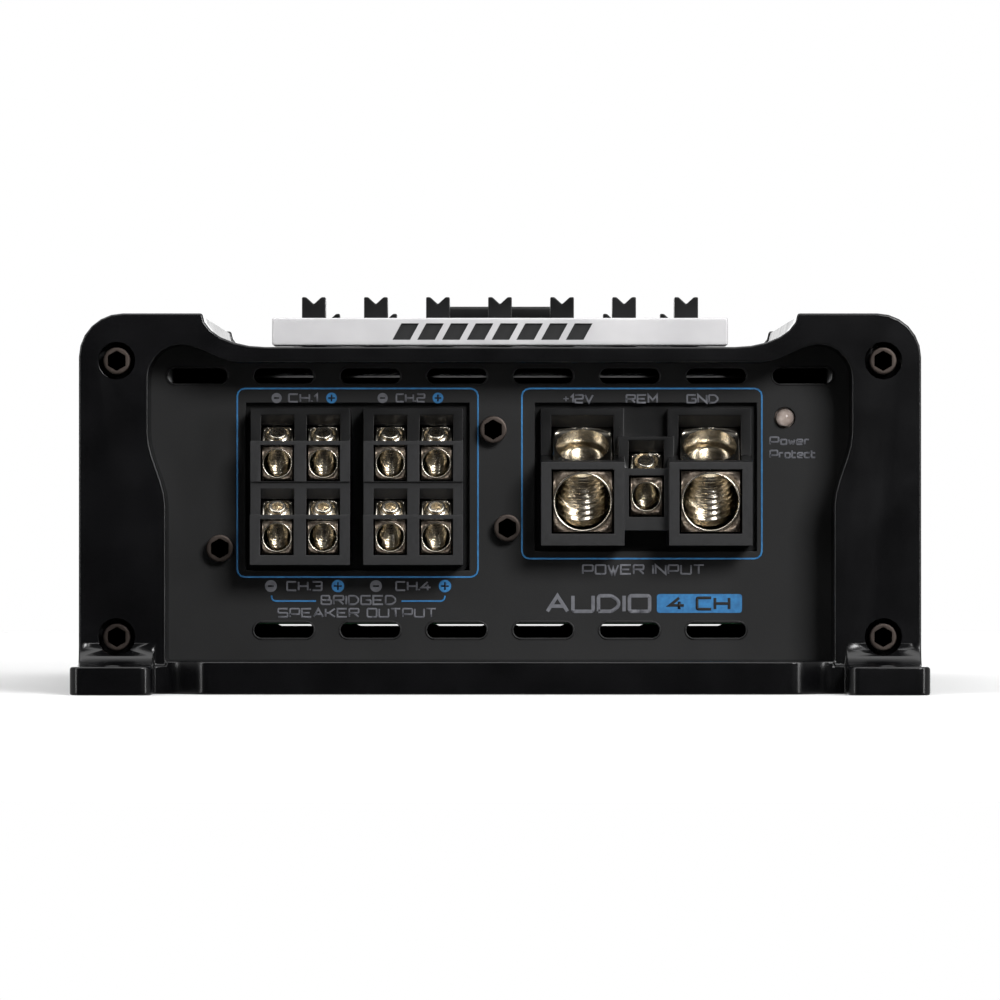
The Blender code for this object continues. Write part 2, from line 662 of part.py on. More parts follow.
def trim_bar(name, surface, parent):
    low = (-TRIM_HALF_WIDTH, TRIM_SETBACK, DIP_Z + GAP)
    high = (TRIM_HALF_WIDTH, SINK_FRONT - GAP, DIP_Z + GAP + TRIM_HEIGHT)
    return piece(rounded_box("bar", low, high, TRIM_EDGE), name, surface, parent)


def badge(surface):
    bottom = DIP_Z + FIN_LOW_HEIGHT + GAP
    low = (-BADGE_HALF_WIDTH, -BADGE_LENGTH / 2, bottom)
    high = (BADGE_HALF_WIDTH, BADGE_LENGTH / 2, bottom + BADGE_THICKNESS)
    return piece(rounded_box("badge", low, high, BADGE_EDGE), "badge_plate", surface)


# ---- socket screws -------------------------------------------------------------------------------
def socket_screw(name, head_height, shank_length, surface, parent, x, depth, z):
    """A cap screw with its origin under the head, pointing inwards along the case."""
    top, chamfer = -head_height, SCREW_CHAMFER
    profile = [(0, top), (SCREW_HEAD_RADIUS - chamfer, top), (SCREW_HEAD_RADIUS, top + chamfer)]
    profile += [(SCREW_HEAD_RADIUS, 0), (SCREW_SHANK_RADIUS, 0), (SCREW_SHANK_RADIUS, shank_length)]
    screw = turned("screw", profile + [(0, shank_length)], SMALL_ROUND)
    cut(screw, [cylinder("socket", HEX_RADIUS, top - CUT_PAST, top + HEX_DEPTH, 6)])
    aimed(screw, (0, 1, 0), (x, depth, z))
    return piece(screw, name, surface, parent)


def cap_screws(end, surface, parent):
    for number, (x, z) in enumerate(screw_places(), 1):
        depth = COUNTERBORE_DEPTH - GAP
        name = f"{end}_cap_screw_{number}"
        socket_screw(name, SCREW_HEAD_HEIGHT, CAP_SCREW_LENGTH, surface, parent, x, depth, z)


def panel_screws(surface, parent):
    for number, (x, z) in enumerate(FLANGE_SCREWS_SPEAKER + FLANGE_SCREWS_POWER, 1):
        name = f"panel_screw_{number}"
        depth = PANEL_DEPTH - GAP
        socket_screw(name, PANEL_SCREW_HEAD_HEIGHT, PANEL_SCREW_LENGTH, surface, parent, x, depth, z)


# ---- wire clamps ---------------------------------------------------------------------------------
def clamp_rim(size):
    """Depth and height of the middle of the screw hole's rim, on the clamp's sloping face."""
    climb = size["rim_above"] - size["front_above"]
    return CLAMP_SETBACK + climb / math.tan(size["tilt"]), size["rim_above"]


def screw_direction(size):
    """The way a set screw backs out: up and towards the nose."""
    return Vector((0, -math.sin(size["tilt"]), math.cos(size["tilt"])))


def clamp_section(size, nose, wire_z, tab_depth):
    """The clamp's side view in (depth, z), with its solder tab going down to the main board."""
    back = CLAMP_SETBACK + size["length"]
    slope_end = CLAMP_SETBACK + (size["top_above"] - size["front_above"]) / math.tan(size["tilt"])
    low = -size["below"]
    points = [(CLAMP_SETBACK, low), (CLAMP_SETBACK, size["front_above"])]
    points += [(slope_end, size["top_above"]), (back, size["top_above"]), (back, low + TAB_THICKNESS)]
    tab = tab_depth - nose
    foot = BOARD_TOP + GAP - wire_z
    points += [(tab, low + TAB_THICKNESS), (tab, foot)]
    points += [(tab - TAB_THICKNESS, foot), (tab - TAB_THICKNESS, low)]
    return [(nose + d, wire_z + z) for d, z in points]


def wire_clamp(name, size, x, nose, wire_z, tab_depth, surface, parent):
    half = size["half_width"]
    clamp = prism("clamp", clamp_section(size, nose, wire_z, tab_depth), "X", x - half, x + half)
    back = CLAMP_SETBACK + size["length"] - CLAMP_BACK_WALL
    wire = cylinder("wire hole", size["wire_radius"], 0, back, size["segments"], math.pi / size["segments"])
    aimed(wire, (0, 1, 0), (x, nose, wire_z))
    rim_depth, rim_above = clamp_rim(size)
    reach = rim_above / math.cos(size["tilt"])
    thread = cylinder("thread", size["screw_radius"] + BORE_CLEARANCE, -reach, 4 * MM, size["segments"])
    aimed(thread, screw_direction(size), (x, nose + rim_depth, wire_z + rim_above))
    return piece(cut(clamp, [wire, thread]), name, surface, parent)


def set_screw(name, size, x, nose, wire_z, surface, parent):
    """A headless screw with its origin where its axis crosses the clamp's sloping face."""
    r = size["screw_radius"]
    top, tip = size["screw_up"], -size["screw_down"]
    taper = r * SET_SCREW_TAPER
    profile = [(0, tip), (r - taper, tip), (r, tip + taper), (r, top - SCREW_CHAMFER)]
    screw = turned("screw", profile + [(r - SCREW_CHAMFER, top), (0, top)], size["segments"])
    depth = SET_SCREW_SOCKET * size["socket_radius"]
    cut(screw, [cylinder("socket", size["socket_radius"], top - depth, top + CUT_PAST, 6)])
    rim_depth, rim_above = clamp_rim(size)
    aimed(screw, screw_direction(size), (x, nose + rim_depth, wire_z + rim_above))
    return piece(screw, name, surface, parent)


def clamp_pocket(size, x, nose, wire_z, back):
    """The space in a housing for one clamp and for its set screw's way out."""
    c = CLAMP_CLEARANCE
    lean = c * math.tan(size["tilt"] / 2)
    shift = c * math.sin(size["tilt"])
    low, front = -size["below"] - c, size["front_above"] + c
    slope_end = CLAMP_SETBACK + (size["top_above"] - size["front_above"]) / math.tan(size["tilt"])
    top, end = size["top_above"] + c, back - nose + CUT_PAST
    section = [(-CUT_PAST, low), (-CUT_PAST, front), (CLAMP_SETBACK - lean, front)]
    section += [(slope_end - shift, top), (end, top), (end, low)]
    section = [(nose + d, wire_z + z) for d, z in section]
    half = size["half_width"] + c
    pocket = prism("pocket", section, "X", x - half, x + half)
    reach = size["screw_radius"] + CHANNEL_CLEARANCE
    channel = box("channel", (-half, -reach, -CUT_PAST), (half, reach, SET_SCREW_WAY_OUT))
    rim_depth, rim_above = clamp_rim(size)
    aimed(channel, screw_direction(size), (x, nose + rim_depth, wire_z + rim_above))
    return [pocket, channel]


# ---- terminal blocks -----------------------------------------------------------------------------
def speaker_cells():
    """(number, x, nose depth, wire height) of the eight speaker terminals, upper row first."""
    cells = []
    for row in (1, 0):
        for block in (-1, 1):
            for side in (-1, 1):
                x = SPEAKER_X + block * BLOCK_PITCH / 2 + side * CELL_PITCH / 2
                cells.append((len(cells) + 1, x, LOW_NOSE + row * TIER_STEP, LOW_WIRE_Z + row * ROW_PITCH))
    return cells


def tower_section():
    upper_z = LOW_WIRE_Z + ROW_PITCH
    upper_nose = LOW_NOSE + TIER_STEP
    points = [(SPEAKER_BACK, LOW_WIRE_Z - LOW_NOSE_BOTTOM), (LOW_NOSE, LOW_WIRE_Z - LOW_NOSE_BOTTOM)]
    points += [(LOW_NOSE, LOW_WIRE_Z + NOSE_TOP), (LOW_NOSE + WINDOW_STEP, LOW_WIRE_Z + NOSE_TOP)]
    points += [(LOW_NOSE + WINDOW_STEP, upper_z - HIGH_NOSE_BOTTOM), (upper_nose, upper_z - HIGH_NOSE_BOTTOM)]
    points += [(upper_nose, upper_z + NOSE_TOP), (upper_nose + WINDOW_STEP, upper_z + NOSE_TOP)]
    points += [(upper_nose + WINDOW_STEP, upper_z + TOWER_TOP), (SPEAKER_BACK, upper_z + TOWER_TOP)]
    return points


def flange(span, screws):
    """The plate behind the panel, with an ear at each of its screws."""
    low, high = PANEL_BACK + GAP, PANEL_BACK + GAP + FLANGE_THICKNESS
    low_x, low_z, high_x, high_z = grown(span, FLANGE_MARGIN)
    plate = box("flange", (low_x, low, low_z), (high_x, high, high_z))
    ears, holes = [], []
    for x, z in screws:
        edge = min(max(x, low_x + JOIN_DEPTH), high_x - JOIN_DEPTH)
        left, right = min(x - FLANGE_EAR_RADIUS, edge), max(x + FLANGE_EAR_RADIUS, edge)
        ears.append(box("ear", (left, low, z - FLANGE_EAR_RADIUS), (right, high, z + FLANGE_EAR_RADIUS)))
        hole = cylinder("hole", HOLE_RADIUS, low - CUT_PAST, high + CUT_PAST, SMALL_ROUND)
        holes.append(aimed(hole, (0, 1, 0), (x, 0, z)))
    return join(plate, ears), holes


def speaker_housing(surface, parent):
    plate, holes = flange(speaker_span(), FLANGE_SCREWS_SPEAKER)
    towers = []
    for block in (-1, 1):
        x = SPEAKER_X + block * BLOCK_PITCH / 2
        towers.append(prism("tower", tower_section(), "X", x - TOWER_WIDTH / 2, x + TOWER_WIDTH / 2))
    housing = join(plate, towers)
    cutters = holes
    for _, x, nose, wire_z in speaker_cells():
        cutters += clamp_pocket(SPEAKER_CLAMP, x, nose, wire_z, SPEAKER_BACK)
    return piece(cut(housing, cutters), "speaker_terminal_housing", surface, parent)


def power_section():
    nose, step = POWER_NOSE, POWER_NOSE + POWER_WINDOW_STEP
    low, shelf, top = -POWER_NOSE_BOTTOM, POWER_NOSE_TOP, POWER_TOP
    points = [(POWER_BACK, low), (nose, low), (nose, shelf)]
    points += [(step, shelf + POWER_SHELF_RISE), (step, top), (POWER_BACK, top)]
    return [(d, POWER_WIRE_Z + z) for d, z in points]


def remote_section():
    nose, step = REMOTE_NOSE, REMOTE_NOSE + REMOTE_WINDOW_STEP
    low, shelf, top = -REMOTE_NOSE_BOTTOM, REMOTE_NOSE_TOP, REMOTE_TOP
    points = [(POWER_BACK, low), (nose, low), (nose, shelf)]
    points += [(step, shelf), (step, top), (POWER_BACK, top)]
    return [(d, REMOTE_WIRE_Z + z) for d, z in points]


def power_housing(surface, parent):
    plate, holes = flange(power_span(), FLANGE_SCREWS_POWER)
    blocks = []
    for side in (-1, 1):
        x, half = POWER_X + side * POWER_PITCH / 2, POWER_CELL_WIDTH / 2
        blocks.append(prism("block", power_section(), "X", x - half, x + half))
    inner = POWER_PITCH / 2 - POWER_CELL_WIDTH / 2 + JOIN_DEPTH
    blocks.append(prism("remote block", remote_section(), "X", POWER_X - inner, POWER_X + inner))
    housing = join(plate, blocks)
    cutters = holes
    for side in (-1, 1):
        x = POWER_X + side * POWER_PITCH / 2
        cutters += clamp_pocket(POWER_CLAMP, x, POWER_NOSE, POWER_WIRE_Z, POWER_BACK)
    cutters += clamp_pocket(REMOTE_CLAMP, POWER_X, REMOTE_NOSE, REMOTE_WIRE_Z, POWER_BACK)
    return piece(cut(housing, cutters), "power_terminal_housing", surface, parent)


def terminals(metal, steel, parent):
    for number, x, nose, wire_z in speaker_cells():
        tab_depth = SPEAKER_BACK + (UPPER_TAB if nose > LOW_NOSE else NEAR_TAB)
        wire_clamp(f"speaker_clamp_{number}", SPEAKER_CLAMP, x, nose, wire_z, tab_depth, metal, parent)
        set_screw(f"speaker_set_screw_{number}", SPEAKER_CLAMP, x, nose, wire_z, steel, parent)
    for name, side in (("positive", -1), ("ground", 1)):
        x = POWER_X + side * POWER_PITCH / 2
        place = (x, POWER_NOSE, POWER_WIRE_Z)
        wire_clamp(f"{name}_clamp", POWER_CLAMP, *place, POWER_BACK + NEAR_TAB, metal, parent)
        set_screw(f"{name}_set_screw", POWER_CLAMP, *place, steel, parent)
    place = (POWER_X, REMOTE_NOSE, REMOTE_WIRE_Z)
    wire_clamp("remote_clamp", REMOTE_CLAMP, *place, POWER_BACK + NEAR_TAB, metal, parent)
    set_screw("remote_set_screw", REMOTE_CLAMP, *place, steel, parent)


def status_led(surface, parent):
    tip, shoulder = -LED_REACH, PANEL_THICKNESS + GAP
    dome = [(LED_RADIUS * math.sin(a), tip + LED_RADIUS * (1 - math.cos(a))) for a in (0.5, 1.0, math.pi / 2)]
    profile = [(0, tip)] + dome + [(LED_RADIUS, shoulder), (LED_FLANGE_RADIUS, shoulder)]
    back = shoulder + LED_FLANGE_THICKNESS
    profile += [(LED_FLANGE_RADIUS, back), (0, back)]
    led = aimed(turned("led", profile, SMALL_ROUND), (0, 1, 0), (LED_X, PANEL_DEPTH, LED_Z))
    return piece(led, "status_led", surface, parent)


# ---- signal end ----------------------------------------------------------------------------------
def jack_block(surface, parent):
    front, back = PANEL_BACK + GAP, PANEL_BACK + GAP + JACK_BLOCK_DEPTH
    margin = JACK_BLOCK_MARGIN
    low = (JACK_X[0] - margin, front, ROW_Z[0] - margin)
    body = box("block", low, (JACK_X[1] + margin, back, ROW_Z[1] + margin))
    barrels, bores = [], []
    tip = PANEL_DEPTH - JACK_REACH
    for x in JACK_X:
        for z in ROW_Z:
            barrel = cylinder("barrel", JACK_RADIUS, 0, front - tip + JOIN_DEPTH, LARGE_ROUND)
            barrels.append(aimed(barrel, (0, 1, 0), (x, tip, z)))
            bore = cylinder("bore", JACK_BORE_RADIUS, -CUT_PAST, JACK_BORE_DEPTH, SMALL_ROUND)
            bores.append(aimed(bore, (0, 1, 0), (x, tip, z)))
    return piece(cut(join(body, barrels), bores), "signal_jack_block", surface, parent)


def knob(name, x, z, surface, parent):
    """A trimmer knob with its shaft; its origin is on its axis, at the panel's face."""
    tip, back = -KNOB_REACH, PANEL_THICKNESS
    end = back + KNOB_SHAFT_LENGTH
    edge = KNOB_EDGE
    profile = [(0, tip), (KNOB_RADIUS - edge, tip), (KNOB_RADIUS, tip + edge), (KNOB_RADIUS, back)]
    profile += [(KNOB_SHAFT_RADIUS, back), (KNOB_SHAFT_RADIUS, end), (0, end)]
    made = turned("knob", profile, LARGE_ROUND)
    half = KNOB_GROOVE / 2
    cut(made, [box("groove", (-half, -KNOB_RADIUS - CUT_PAST, tip - CUT_PAST), (half, 0, tip + KNOB_GROOVE))])
    aimed(made, (0, 1, 0), (x, PANEL_DEPTH, z))
    return piece(made, name, surface, parent)


def slider(name, z, surface, parent):
    low = (-SLIDER_HALF_WIDTH, -SLIDER_REACH, -SLIDER_HALF_HEIGHT)
    high = (SLIDER_HALF_WIDTH, SLIDER_LENGTH - SLIDER_REACH, SLIDER_HALF_HEIGHT)
    made = rounded_box("slider", low, high, SLIDER_EDGE)
    made.location = (SWITCH_X, PANEL_DEPTH, z)
    return piece(made, name, surface, parent)


def input_board(surface, parent):
    """The upright board, with the bodies of the potentiometers and switches soldered to it."""
    front = INPUT_BOARD_FRONT
    low = (-INPUT_BOARD_HALF_WIDTH, front, BOARD_TOP + GAP)
    board = box("board", low, (INPUT_BOARD_HALF_WIDTH, front + BOARD_THICKNESS, INPUT_BOARD_TOP))
    bodies, holes = [], []
    face, back = front - CONTROL_BODY_DEPTH, front + BOARD_THICKNESS / 2
    for z in ROW_Z:
        for x in KNOB_X:
            side = POT_HALF_SIDE
            bodies.append(box("pot", (x - side, face, z - side), (x + side, back, z + side)))
            end = PANEL_BACK + KNOB_SHAFT_LENGTH + GAP
            hole = cylinder("hole", KNOB_SHAFT_RADIUS + GAP, face - CUT_PAST, end, SMALL_ROUND)
            holes.append(aimed(hole, (0, 1, 0), (x, 0, z)))
        wide, tall = SWITCH_HALF_WIDTH, SWITCH_HALF_HEIGHT
        bodies.append(
            box("switch", (SWITCH_X - wide, face, z - tall), (SWITCH_X + wide, back, z + tall))
        )
        reach = SLIDER_HALF_WIDTH + SLIDER_TRAVEL + GAP
        rise = SLIDER_HALF_HEIGHT + GAP
        end = PANEL_DEPTH + SLIDER_LENGTH - SLIDER_REACH + GAP
        holes.append(
            box("slot", (SWITCH_X - reach, face - CUT_PAST, z - rise), (SWITCH_X + reach, end, z + rise))
        )
    return piece(cut(join(board, bodies), holes), "input_board", surface, parent)


# ---- power stage ---------------------------------------------------------------------------------
def main_board(surface):
    reach = CASE_HALF_WIDTH - SINK_INSET - WALL - GAP
    half = CASE_LENGTH / 2 - BOARD_FRONT
    return piece(box("board", (-reach, -half, BOARD_Z), (reach, half, BOARD_TOP)), "main_board", surface)


def toroid(surface):
    shape = bmesh.new()
    ring = bmesh.ops.create_circle(shape, segments=8, radius=TOROID_SECTION)["verts"]
    bmesh.ops.rotate(shape, verts=ring, cent=(0, 0, 0), matrix=Matrix.Rotation(math.pi / 2, 3, "X"))
    bmesh.ops.translate(shape, verts=ring, vec=(TOROID_RADIUS, 0, 0))
    turn = dict(cent=(0, 0, 0), axis=(0, 0, 1), angle=2 * math.pi, steps=20)
    bmesh.ops.spin(shape, geom=shape.edges[:], use_merge=True, **turn)
    made = to_object(shape, "toroid")
    made.location = (TOROID_X, TOROID_Y, BOARD_TOP + GAP + TOROID_SECTION)
    return piece(made, "power_transformer", surface)


def capacitors(surface):
    for number, y in enumerate(CAPACITOR_Y, 1):
        made = cylinder("can", CAPACITOR_RADIUS, 0, CAPACITOR_HEIGHT, LARGE_ROUND)
        made.location = (CAPACITOR_X, y, BOARD_TOP + GAP)
        piece(made, f"filter_capacitor_{number}", surface)


def transistor_banks(surface):
    """Power transistors in a row, pressed to each side wall by a bar."""
    wall = CASE_HALF_WIDTH - SINK_INSET - WALL - GAP
    reach = (BANK_COUNT - 1) / 2 * BANK_PITCH + BANK_PITCH / 2
    for name, side in (("left", -1), ("right", 1)):
        edges = sorted((side * (wall - 2 * BANK_BAR), side * (wall - BANK_BAR)))
        bar = box("bar", (edges[0], -reach, BANK_Z), (edges[1], reach, BANK_Z + BANK_BAR_HEIGHT))
        packages = []
        for i in range(BANK_COUNT):
            y = (i - (BANK_COUNT - 1) / 2) * BANK_PITCH
            sides = sorted((side * (wall - BANK_BAR - JOIN_DEPTH), side * wall))
            low = (sides[0], y - PACKAGE_HALF_WIDTH, BANK_Z - PACKAGE_BELOW)
            high = (sides[1], y + PACKAGE_HALF_WIDTH, BANK_Z - PACKAGE_BELOW + PACKAGE_HEIGHT)
            packages.append(box("package", low, high))
        piece(join(bar, packages), f"transistor_bank_{name}", surface)


def end_frame(name, side):
    """An empty at the middle of a cap's face. Its +Y points into the case from either end."""
    frame = bpy.data.objects.new(name, None)
    frame.location = (0, side * CASE_LENGTH / 2, 0)
    frame.rotation_euler = (0, 0, 0 if side < 0 else math.pi)
    bpy.context.scene.collection.objects.link(frame)
    return frame


def main():
    clear_scene()
    gloss_black = finish("satin_black_casting", (0.012, 0.012, 0.013), 0.25)
    matt_black = finish("matt_black_powder_coat", (0.02, 0.021, 0.022), 0.55)
    anodised = finish("black_anodised_aluminium", (0.015, 0.015, 0.016), 0.4, 0.6)
    polished = finish("polished_aluminium", (0.78, 0.77, 0.78), 0.15, 1.0)
    nylon = finish("black_nylon", (0.035, 0.036, 0.037), 0.6)
    nickel = finish("nickel_plated_brass", (0.62, 0.58, 0.5), 0.25, 1.0)
    blackened = finish("blackened_steel", (0.05, 0.045, 0.042), 0.35, 0.9)
    lens = finish("diffused_lens", (0.6, 0.52, 0.47), 0.3)
    laminate = finish("board_laminate", (0.02, 0.09, 0.04), 0.5)
    copper = finish("enamelled_copper", (0.55, 0.22, 0.08), 0.35, 0.9)
    sleeve = finish("capacitor_sleeve", (0.02, 0.025, 0.05), 0.35)
    epoxy = finish("moulded_epoxy", (0.03, 0.03, 0.03), 0.5)

    front = end_frame("terminal_end", -1)
    rear = end_frame("signal_end", 1)

    heatsink(anodised)
    bottom_plate(matt_black)
    cap = end_cap("front_end_cap", gloss_black, front)
    twin = bpy.data.objects.new("rear_end_cap", cap.data)
    bpy.context.scene.collection.objects.link(twin)
    twin.parent = rear
    terminal_panel(matt_black, front)
    signal_panel(matt_black, rear)
    trim_bar("front_trim_bar", polished, front)
    trim_bar("rear_trim_bar", polished, rear)
    badge(anodised)
    cap_screws("front", blackened, front)
    cap_screws("rear", blackened, rear)
    panel_screws(blackened, front)
    speaker_housing(nylon, front)
    power_housing(nylon, front)
    terminals(nickel, nickel, front)
    status_led(lens, front)
    jack_block(nylon, rear)
    for row, z in zip(("rear", "front"), ROW_Z):
        knob(f"level_knob_{row}", KNOB_X[0], z, nylon, rear)
        knob(f"crossover_knob_{row}", KNOB_X[1], z, nylon, rear)
        slider(f"filter_switch_{row}", z, nylon, rear)
    input_board(laminate, rear)
    main_board(laminate)
    toroid(copper)
    capacitors(sleeve)
    transistor_banks(epoxy)


main()
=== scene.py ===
# %% [markdown]
# # A compact car amplifier, finished for rendering
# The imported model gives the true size, the place and the motion of every piece. This lesson keeps that frame and
# gives each piece the rounded edges, threads, printing and surface that the real one has. The case is two
# die-cast caps on a finned extrusion; the terminal end faces -Y and the signal end faces +Y.

import json
import math

import bmesh
import bpy
from mathutils import Matrix, Vector


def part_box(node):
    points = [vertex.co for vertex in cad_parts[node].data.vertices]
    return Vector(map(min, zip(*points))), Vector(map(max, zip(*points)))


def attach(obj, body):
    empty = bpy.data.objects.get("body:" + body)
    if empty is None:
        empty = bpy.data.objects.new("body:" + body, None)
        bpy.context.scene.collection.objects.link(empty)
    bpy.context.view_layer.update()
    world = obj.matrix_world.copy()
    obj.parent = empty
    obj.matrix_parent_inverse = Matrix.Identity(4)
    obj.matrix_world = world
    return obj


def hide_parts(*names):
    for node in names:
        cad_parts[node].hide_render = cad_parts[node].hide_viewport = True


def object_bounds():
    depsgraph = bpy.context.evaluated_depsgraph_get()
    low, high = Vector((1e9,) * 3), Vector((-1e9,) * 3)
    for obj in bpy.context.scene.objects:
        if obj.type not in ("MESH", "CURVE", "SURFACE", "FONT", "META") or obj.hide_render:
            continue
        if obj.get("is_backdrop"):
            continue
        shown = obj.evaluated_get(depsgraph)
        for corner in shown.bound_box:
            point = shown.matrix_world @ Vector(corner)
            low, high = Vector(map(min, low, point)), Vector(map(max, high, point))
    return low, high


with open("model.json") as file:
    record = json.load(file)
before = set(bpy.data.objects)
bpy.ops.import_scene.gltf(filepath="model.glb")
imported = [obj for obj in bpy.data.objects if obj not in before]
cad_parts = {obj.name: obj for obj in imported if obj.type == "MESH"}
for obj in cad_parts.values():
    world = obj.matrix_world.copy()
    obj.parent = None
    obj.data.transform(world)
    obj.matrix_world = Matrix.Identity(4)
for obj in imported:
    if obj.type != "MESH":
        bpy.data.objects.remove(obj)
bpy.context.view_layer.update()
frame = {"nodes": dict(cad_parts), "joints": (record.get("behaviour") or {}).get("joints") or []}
MM = 0.001
CASE = "amplifier"

# %% [markdown]
# ## Camera
# The amplifier is looked at square on from a long way off, so its end shows almost without perspective. A long
# lens does that; a short one close up would show the inner walls of the recess.

# %% Camera square on to the terminal end
CAMERA_DISTANCE = 1.45
FRAME_WIDTH = 0.1754  # what the picture spans at the cap's face
EYE_HEIGHT = 0.03404
SENSOR = 36
EAR_REACH = 11 * MM  # how far the mounting ears stand in front of the cap's flat face

face_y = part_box("front_end_cap")[0].y + EAR_REACH
camera_data = bpy.data.cameras.new("studio_camera")
camera_data.sensor_width = SENSOR
camera_data.lens = SENSOR * CAMERA_DISTANCE / FRAME_WIDTH
camera = bpy.data.objects.new("studio_camera", camera_data)
camera.location = (0, face_y - CAMERA_DISTANCE, EYE_HEIGHT)
camera.rotation_euler = (math.radians(90), 0, 0)
bpy.context.scene.collection.objects.link(camera)
bpy.context.scene.camera = camera
bpy.context.scene.view_settings.view_transform = "Standard"
print("lens", round(camera_data.lens), "mm, from", CAMERA_DISTANCE, "m")

# %% [markdown]
# ## Helpers for materials
# A material is a small network of nodes. One helper adds a node with its settings and links, another turns the
# hex colours of a paint chart into the linear light that a shader works in.

# %% Colour and node helpers
def linear(chip):
    """A colour chip such as #1c1c1e as linear red, green, blue and alpha."""
    parts = [int(chip[i : i + 2], 16) / 255 for i in (1, 3, 5)]
    return (*[p / 12.92 if p <= 0.04045 else ((p + 0.055) / 1.055) ** 2.4 for p in parts], 1.0)


def add(tree, kind, inputs=None, **settings):
    """Adds a node, sets its properties, and fills its inputs with values or with other nodes' outputs."""
    node = tree.nodes.new(kind)
    for name, value in settings.items():
        setattr(node, name, value)
    for name, value in (inputs or {}).items():
        if isinstance(value, bpy.types.NodeSocket):
            tree.links.new(value, node.inputs[name])
        else:
            node.inputs[name].default_value = value
    return node


def new_material(name):
    made = bpy.data.materials.new(name)
    made.use_nodes = True
    tree = made.node_tree
    tree.nodes.clear()
    shader = add(tree, "ShaderNodeBsdfPrincipled")
    add(tree, "ShaderNodeOutputMaterial", {"Surface": shader.outputs["BSDF"]})
    place = add(tree, "ShaderNodeTexCoord").outputs["Object"]
    return made, tree, shader, place


print("#1c1c1e in linear light:", [round(part, 4) for part in linear("#1c1c1e")[:3]])

# %% [markdown]
# A real surface is never one flat value. Its patterns come from noise on Object coordinates, which are in metres
# and stay on the piece when it moves. A pattern can drive three things: a mix of two colours, the roughness, and
# a bump that stands a known number of metres out of the surface.

# %% Patterns
def grain(tree, place, size, stretch=(1, 1, 1), detail=2.0):
    """A noise whose lumps are about size metres across; stretch above 1 squeezes them along that axis."""
    squeezed = add(tree, "ShaderNodeMapping", {"Vector": place, "Scale": stretch}).outputs["Vector"]
    noise = add(tree, "ShaderNodeTexNoise", {"Vector": squeezed, "Scale": 1 / size, "Detail": detail})
    return noise.outputs["Fac"]


def spread(tree, value, low, high):
    """Stretches the middle of a 0 to 1 pattern over the range from low to high."""
    ranged = {"Value": value, "From Min": 0.3, "From Max": 0.7, "To Min": low, "To Max": high}
    return add(tree, "ShaderNodeMapRange", ranged).outputs["Result"]


def tinted(tree, value, dark, light):
    """Mixes two colour chips by a pattern."""
    mix = add(tree, "ShaderNodeMix", data_type="RGBA")
    tree.links.new(value, mix.inputs["Factor"])
    colours = [socket for socket in mix.inputs if socket.type == "RGBA"]
    colours[0].default_value, colours[1].default_value = linear(dark), linear(light)
    return [socket for socket in mix.outputs if socket.type == "RGBA"][0]


def relief(tree, shader, height, depth):
    """Lets a pattern stand depth metres out of the surface."""
    bump = add(tree, "ShaderNodeBump", {"Height": height, "Distance": depth, "Strength": 1.0})
    tree.links.new(bump.outputs["Normal"], shader.inputs["Normal"])

# %% [markdown]
# Every finish here is the same recipe with its own numbers: a slow drift in colour and gloss, as on any coating
# that dried or wore unevenly, and a fine relief. What is the same all over the surface, such as how metallic it
# is, is set on the shader's own socket.

# %% The recipe for a finish
def surface(name, chips, rough, lump, depth, metallic=0.0, patch=9 * MM, stretch=(1, 1, 1)):
    """A finish: a fine relief of lumps, with colour and gloss that drift slowly over patches."""
    made, tree, shader, place = new_material(name)
    drift = grain(tree, place, patch, detail=4.0)
    fine = grain(tree, place, lump, stretch)
    tree.links.new(tinted(tree, spread(tree, drift, 0, 1), *chips), shader.inputs["Base Color"])
    tree.links.new(spread(tree, drift, *rough), shader.inputs["Roughness"])
    relief(tree, shader, fine, depth)
    shader.inputs["Metallic"].default_value = metallic
    return made

# %% [markdown]
# ## The finishes
# Each one starts from the real material and how it was made. The caps are pressure die castings under a satin
# black coat, smooth enough for soft reflections. The panels are steel under a fine powder coat, which scatters
# light and looks greyer. The extrusion is black anodised and keeps faint lines from its die, along its length.
# The trim bars are bead-blasted and anodised clear, so they look like one even, pale grey light.
#
# Alloy steel screws come out of a black oxide bath with a warm, dark, half-matt skin. Nickel on turned brass is a
# mirror with a faint yellow in it. Where the clamps were sawn, the saw marks show through the nickel: that makes
# it duller and browner, in patches.
#
# Real grains on these finishes are 5 to 50 micrometres across. Grains finer than about 0.15 mm would not show, so
# every one is drawn at that size or coarser.

# %% Metals and coatings of the case
cast_coat = surface("satin_coat_on_die_casting", ("#050506", "#08080a"), (0.21, 0.26), 0.5 * MM, 0.001 * MM)
powder = surface("black_powder_coated_steel", ("#0e0e0f", "#121213"), (0.5, 0.58), 0.22 * MM, 0.01 * MM)
die_lines = (1, 0.01, 1)  # long and thin along Y
anodised = surface(
    "black_anodised_extrusion", ("#0c0c0d", "#131314"), (0.32, 0.4), 0.3 * MM, 0.006 * MM, 0.4, stretch=die_lines
)
silver = surface("satin_silver_anodising", ("#c6c5c7", "#cfcecf"), (0.34, 0.42), 0.18 * MM, 0.002 * MM, 0.35)
blacked = surface("black_oxide_on_alloy_steel", ("#4c4440", "#6a605a"), (0.36, 0.46), 0.3 * MM, 0.004 * MM, 0.9)
nickel = surface("nickel_plated_brass", ("#d3cab9", "#ebe4d7"), (0.2, 0.28), 0.5 * MM, 0.0008 * MM, 1.0, 2 * MM)
sawn_nickel = surface(
    "nickel_on_sawn_brass", ("#7d6c60", "#c9bbaa"), (0.28, 0.46), 0.22 * MM, 0.045 * MM, 0.9, 0.5 * MM
)
print("case finishes:", cast_coat.name, powder.name, anodised.name, silver.name)

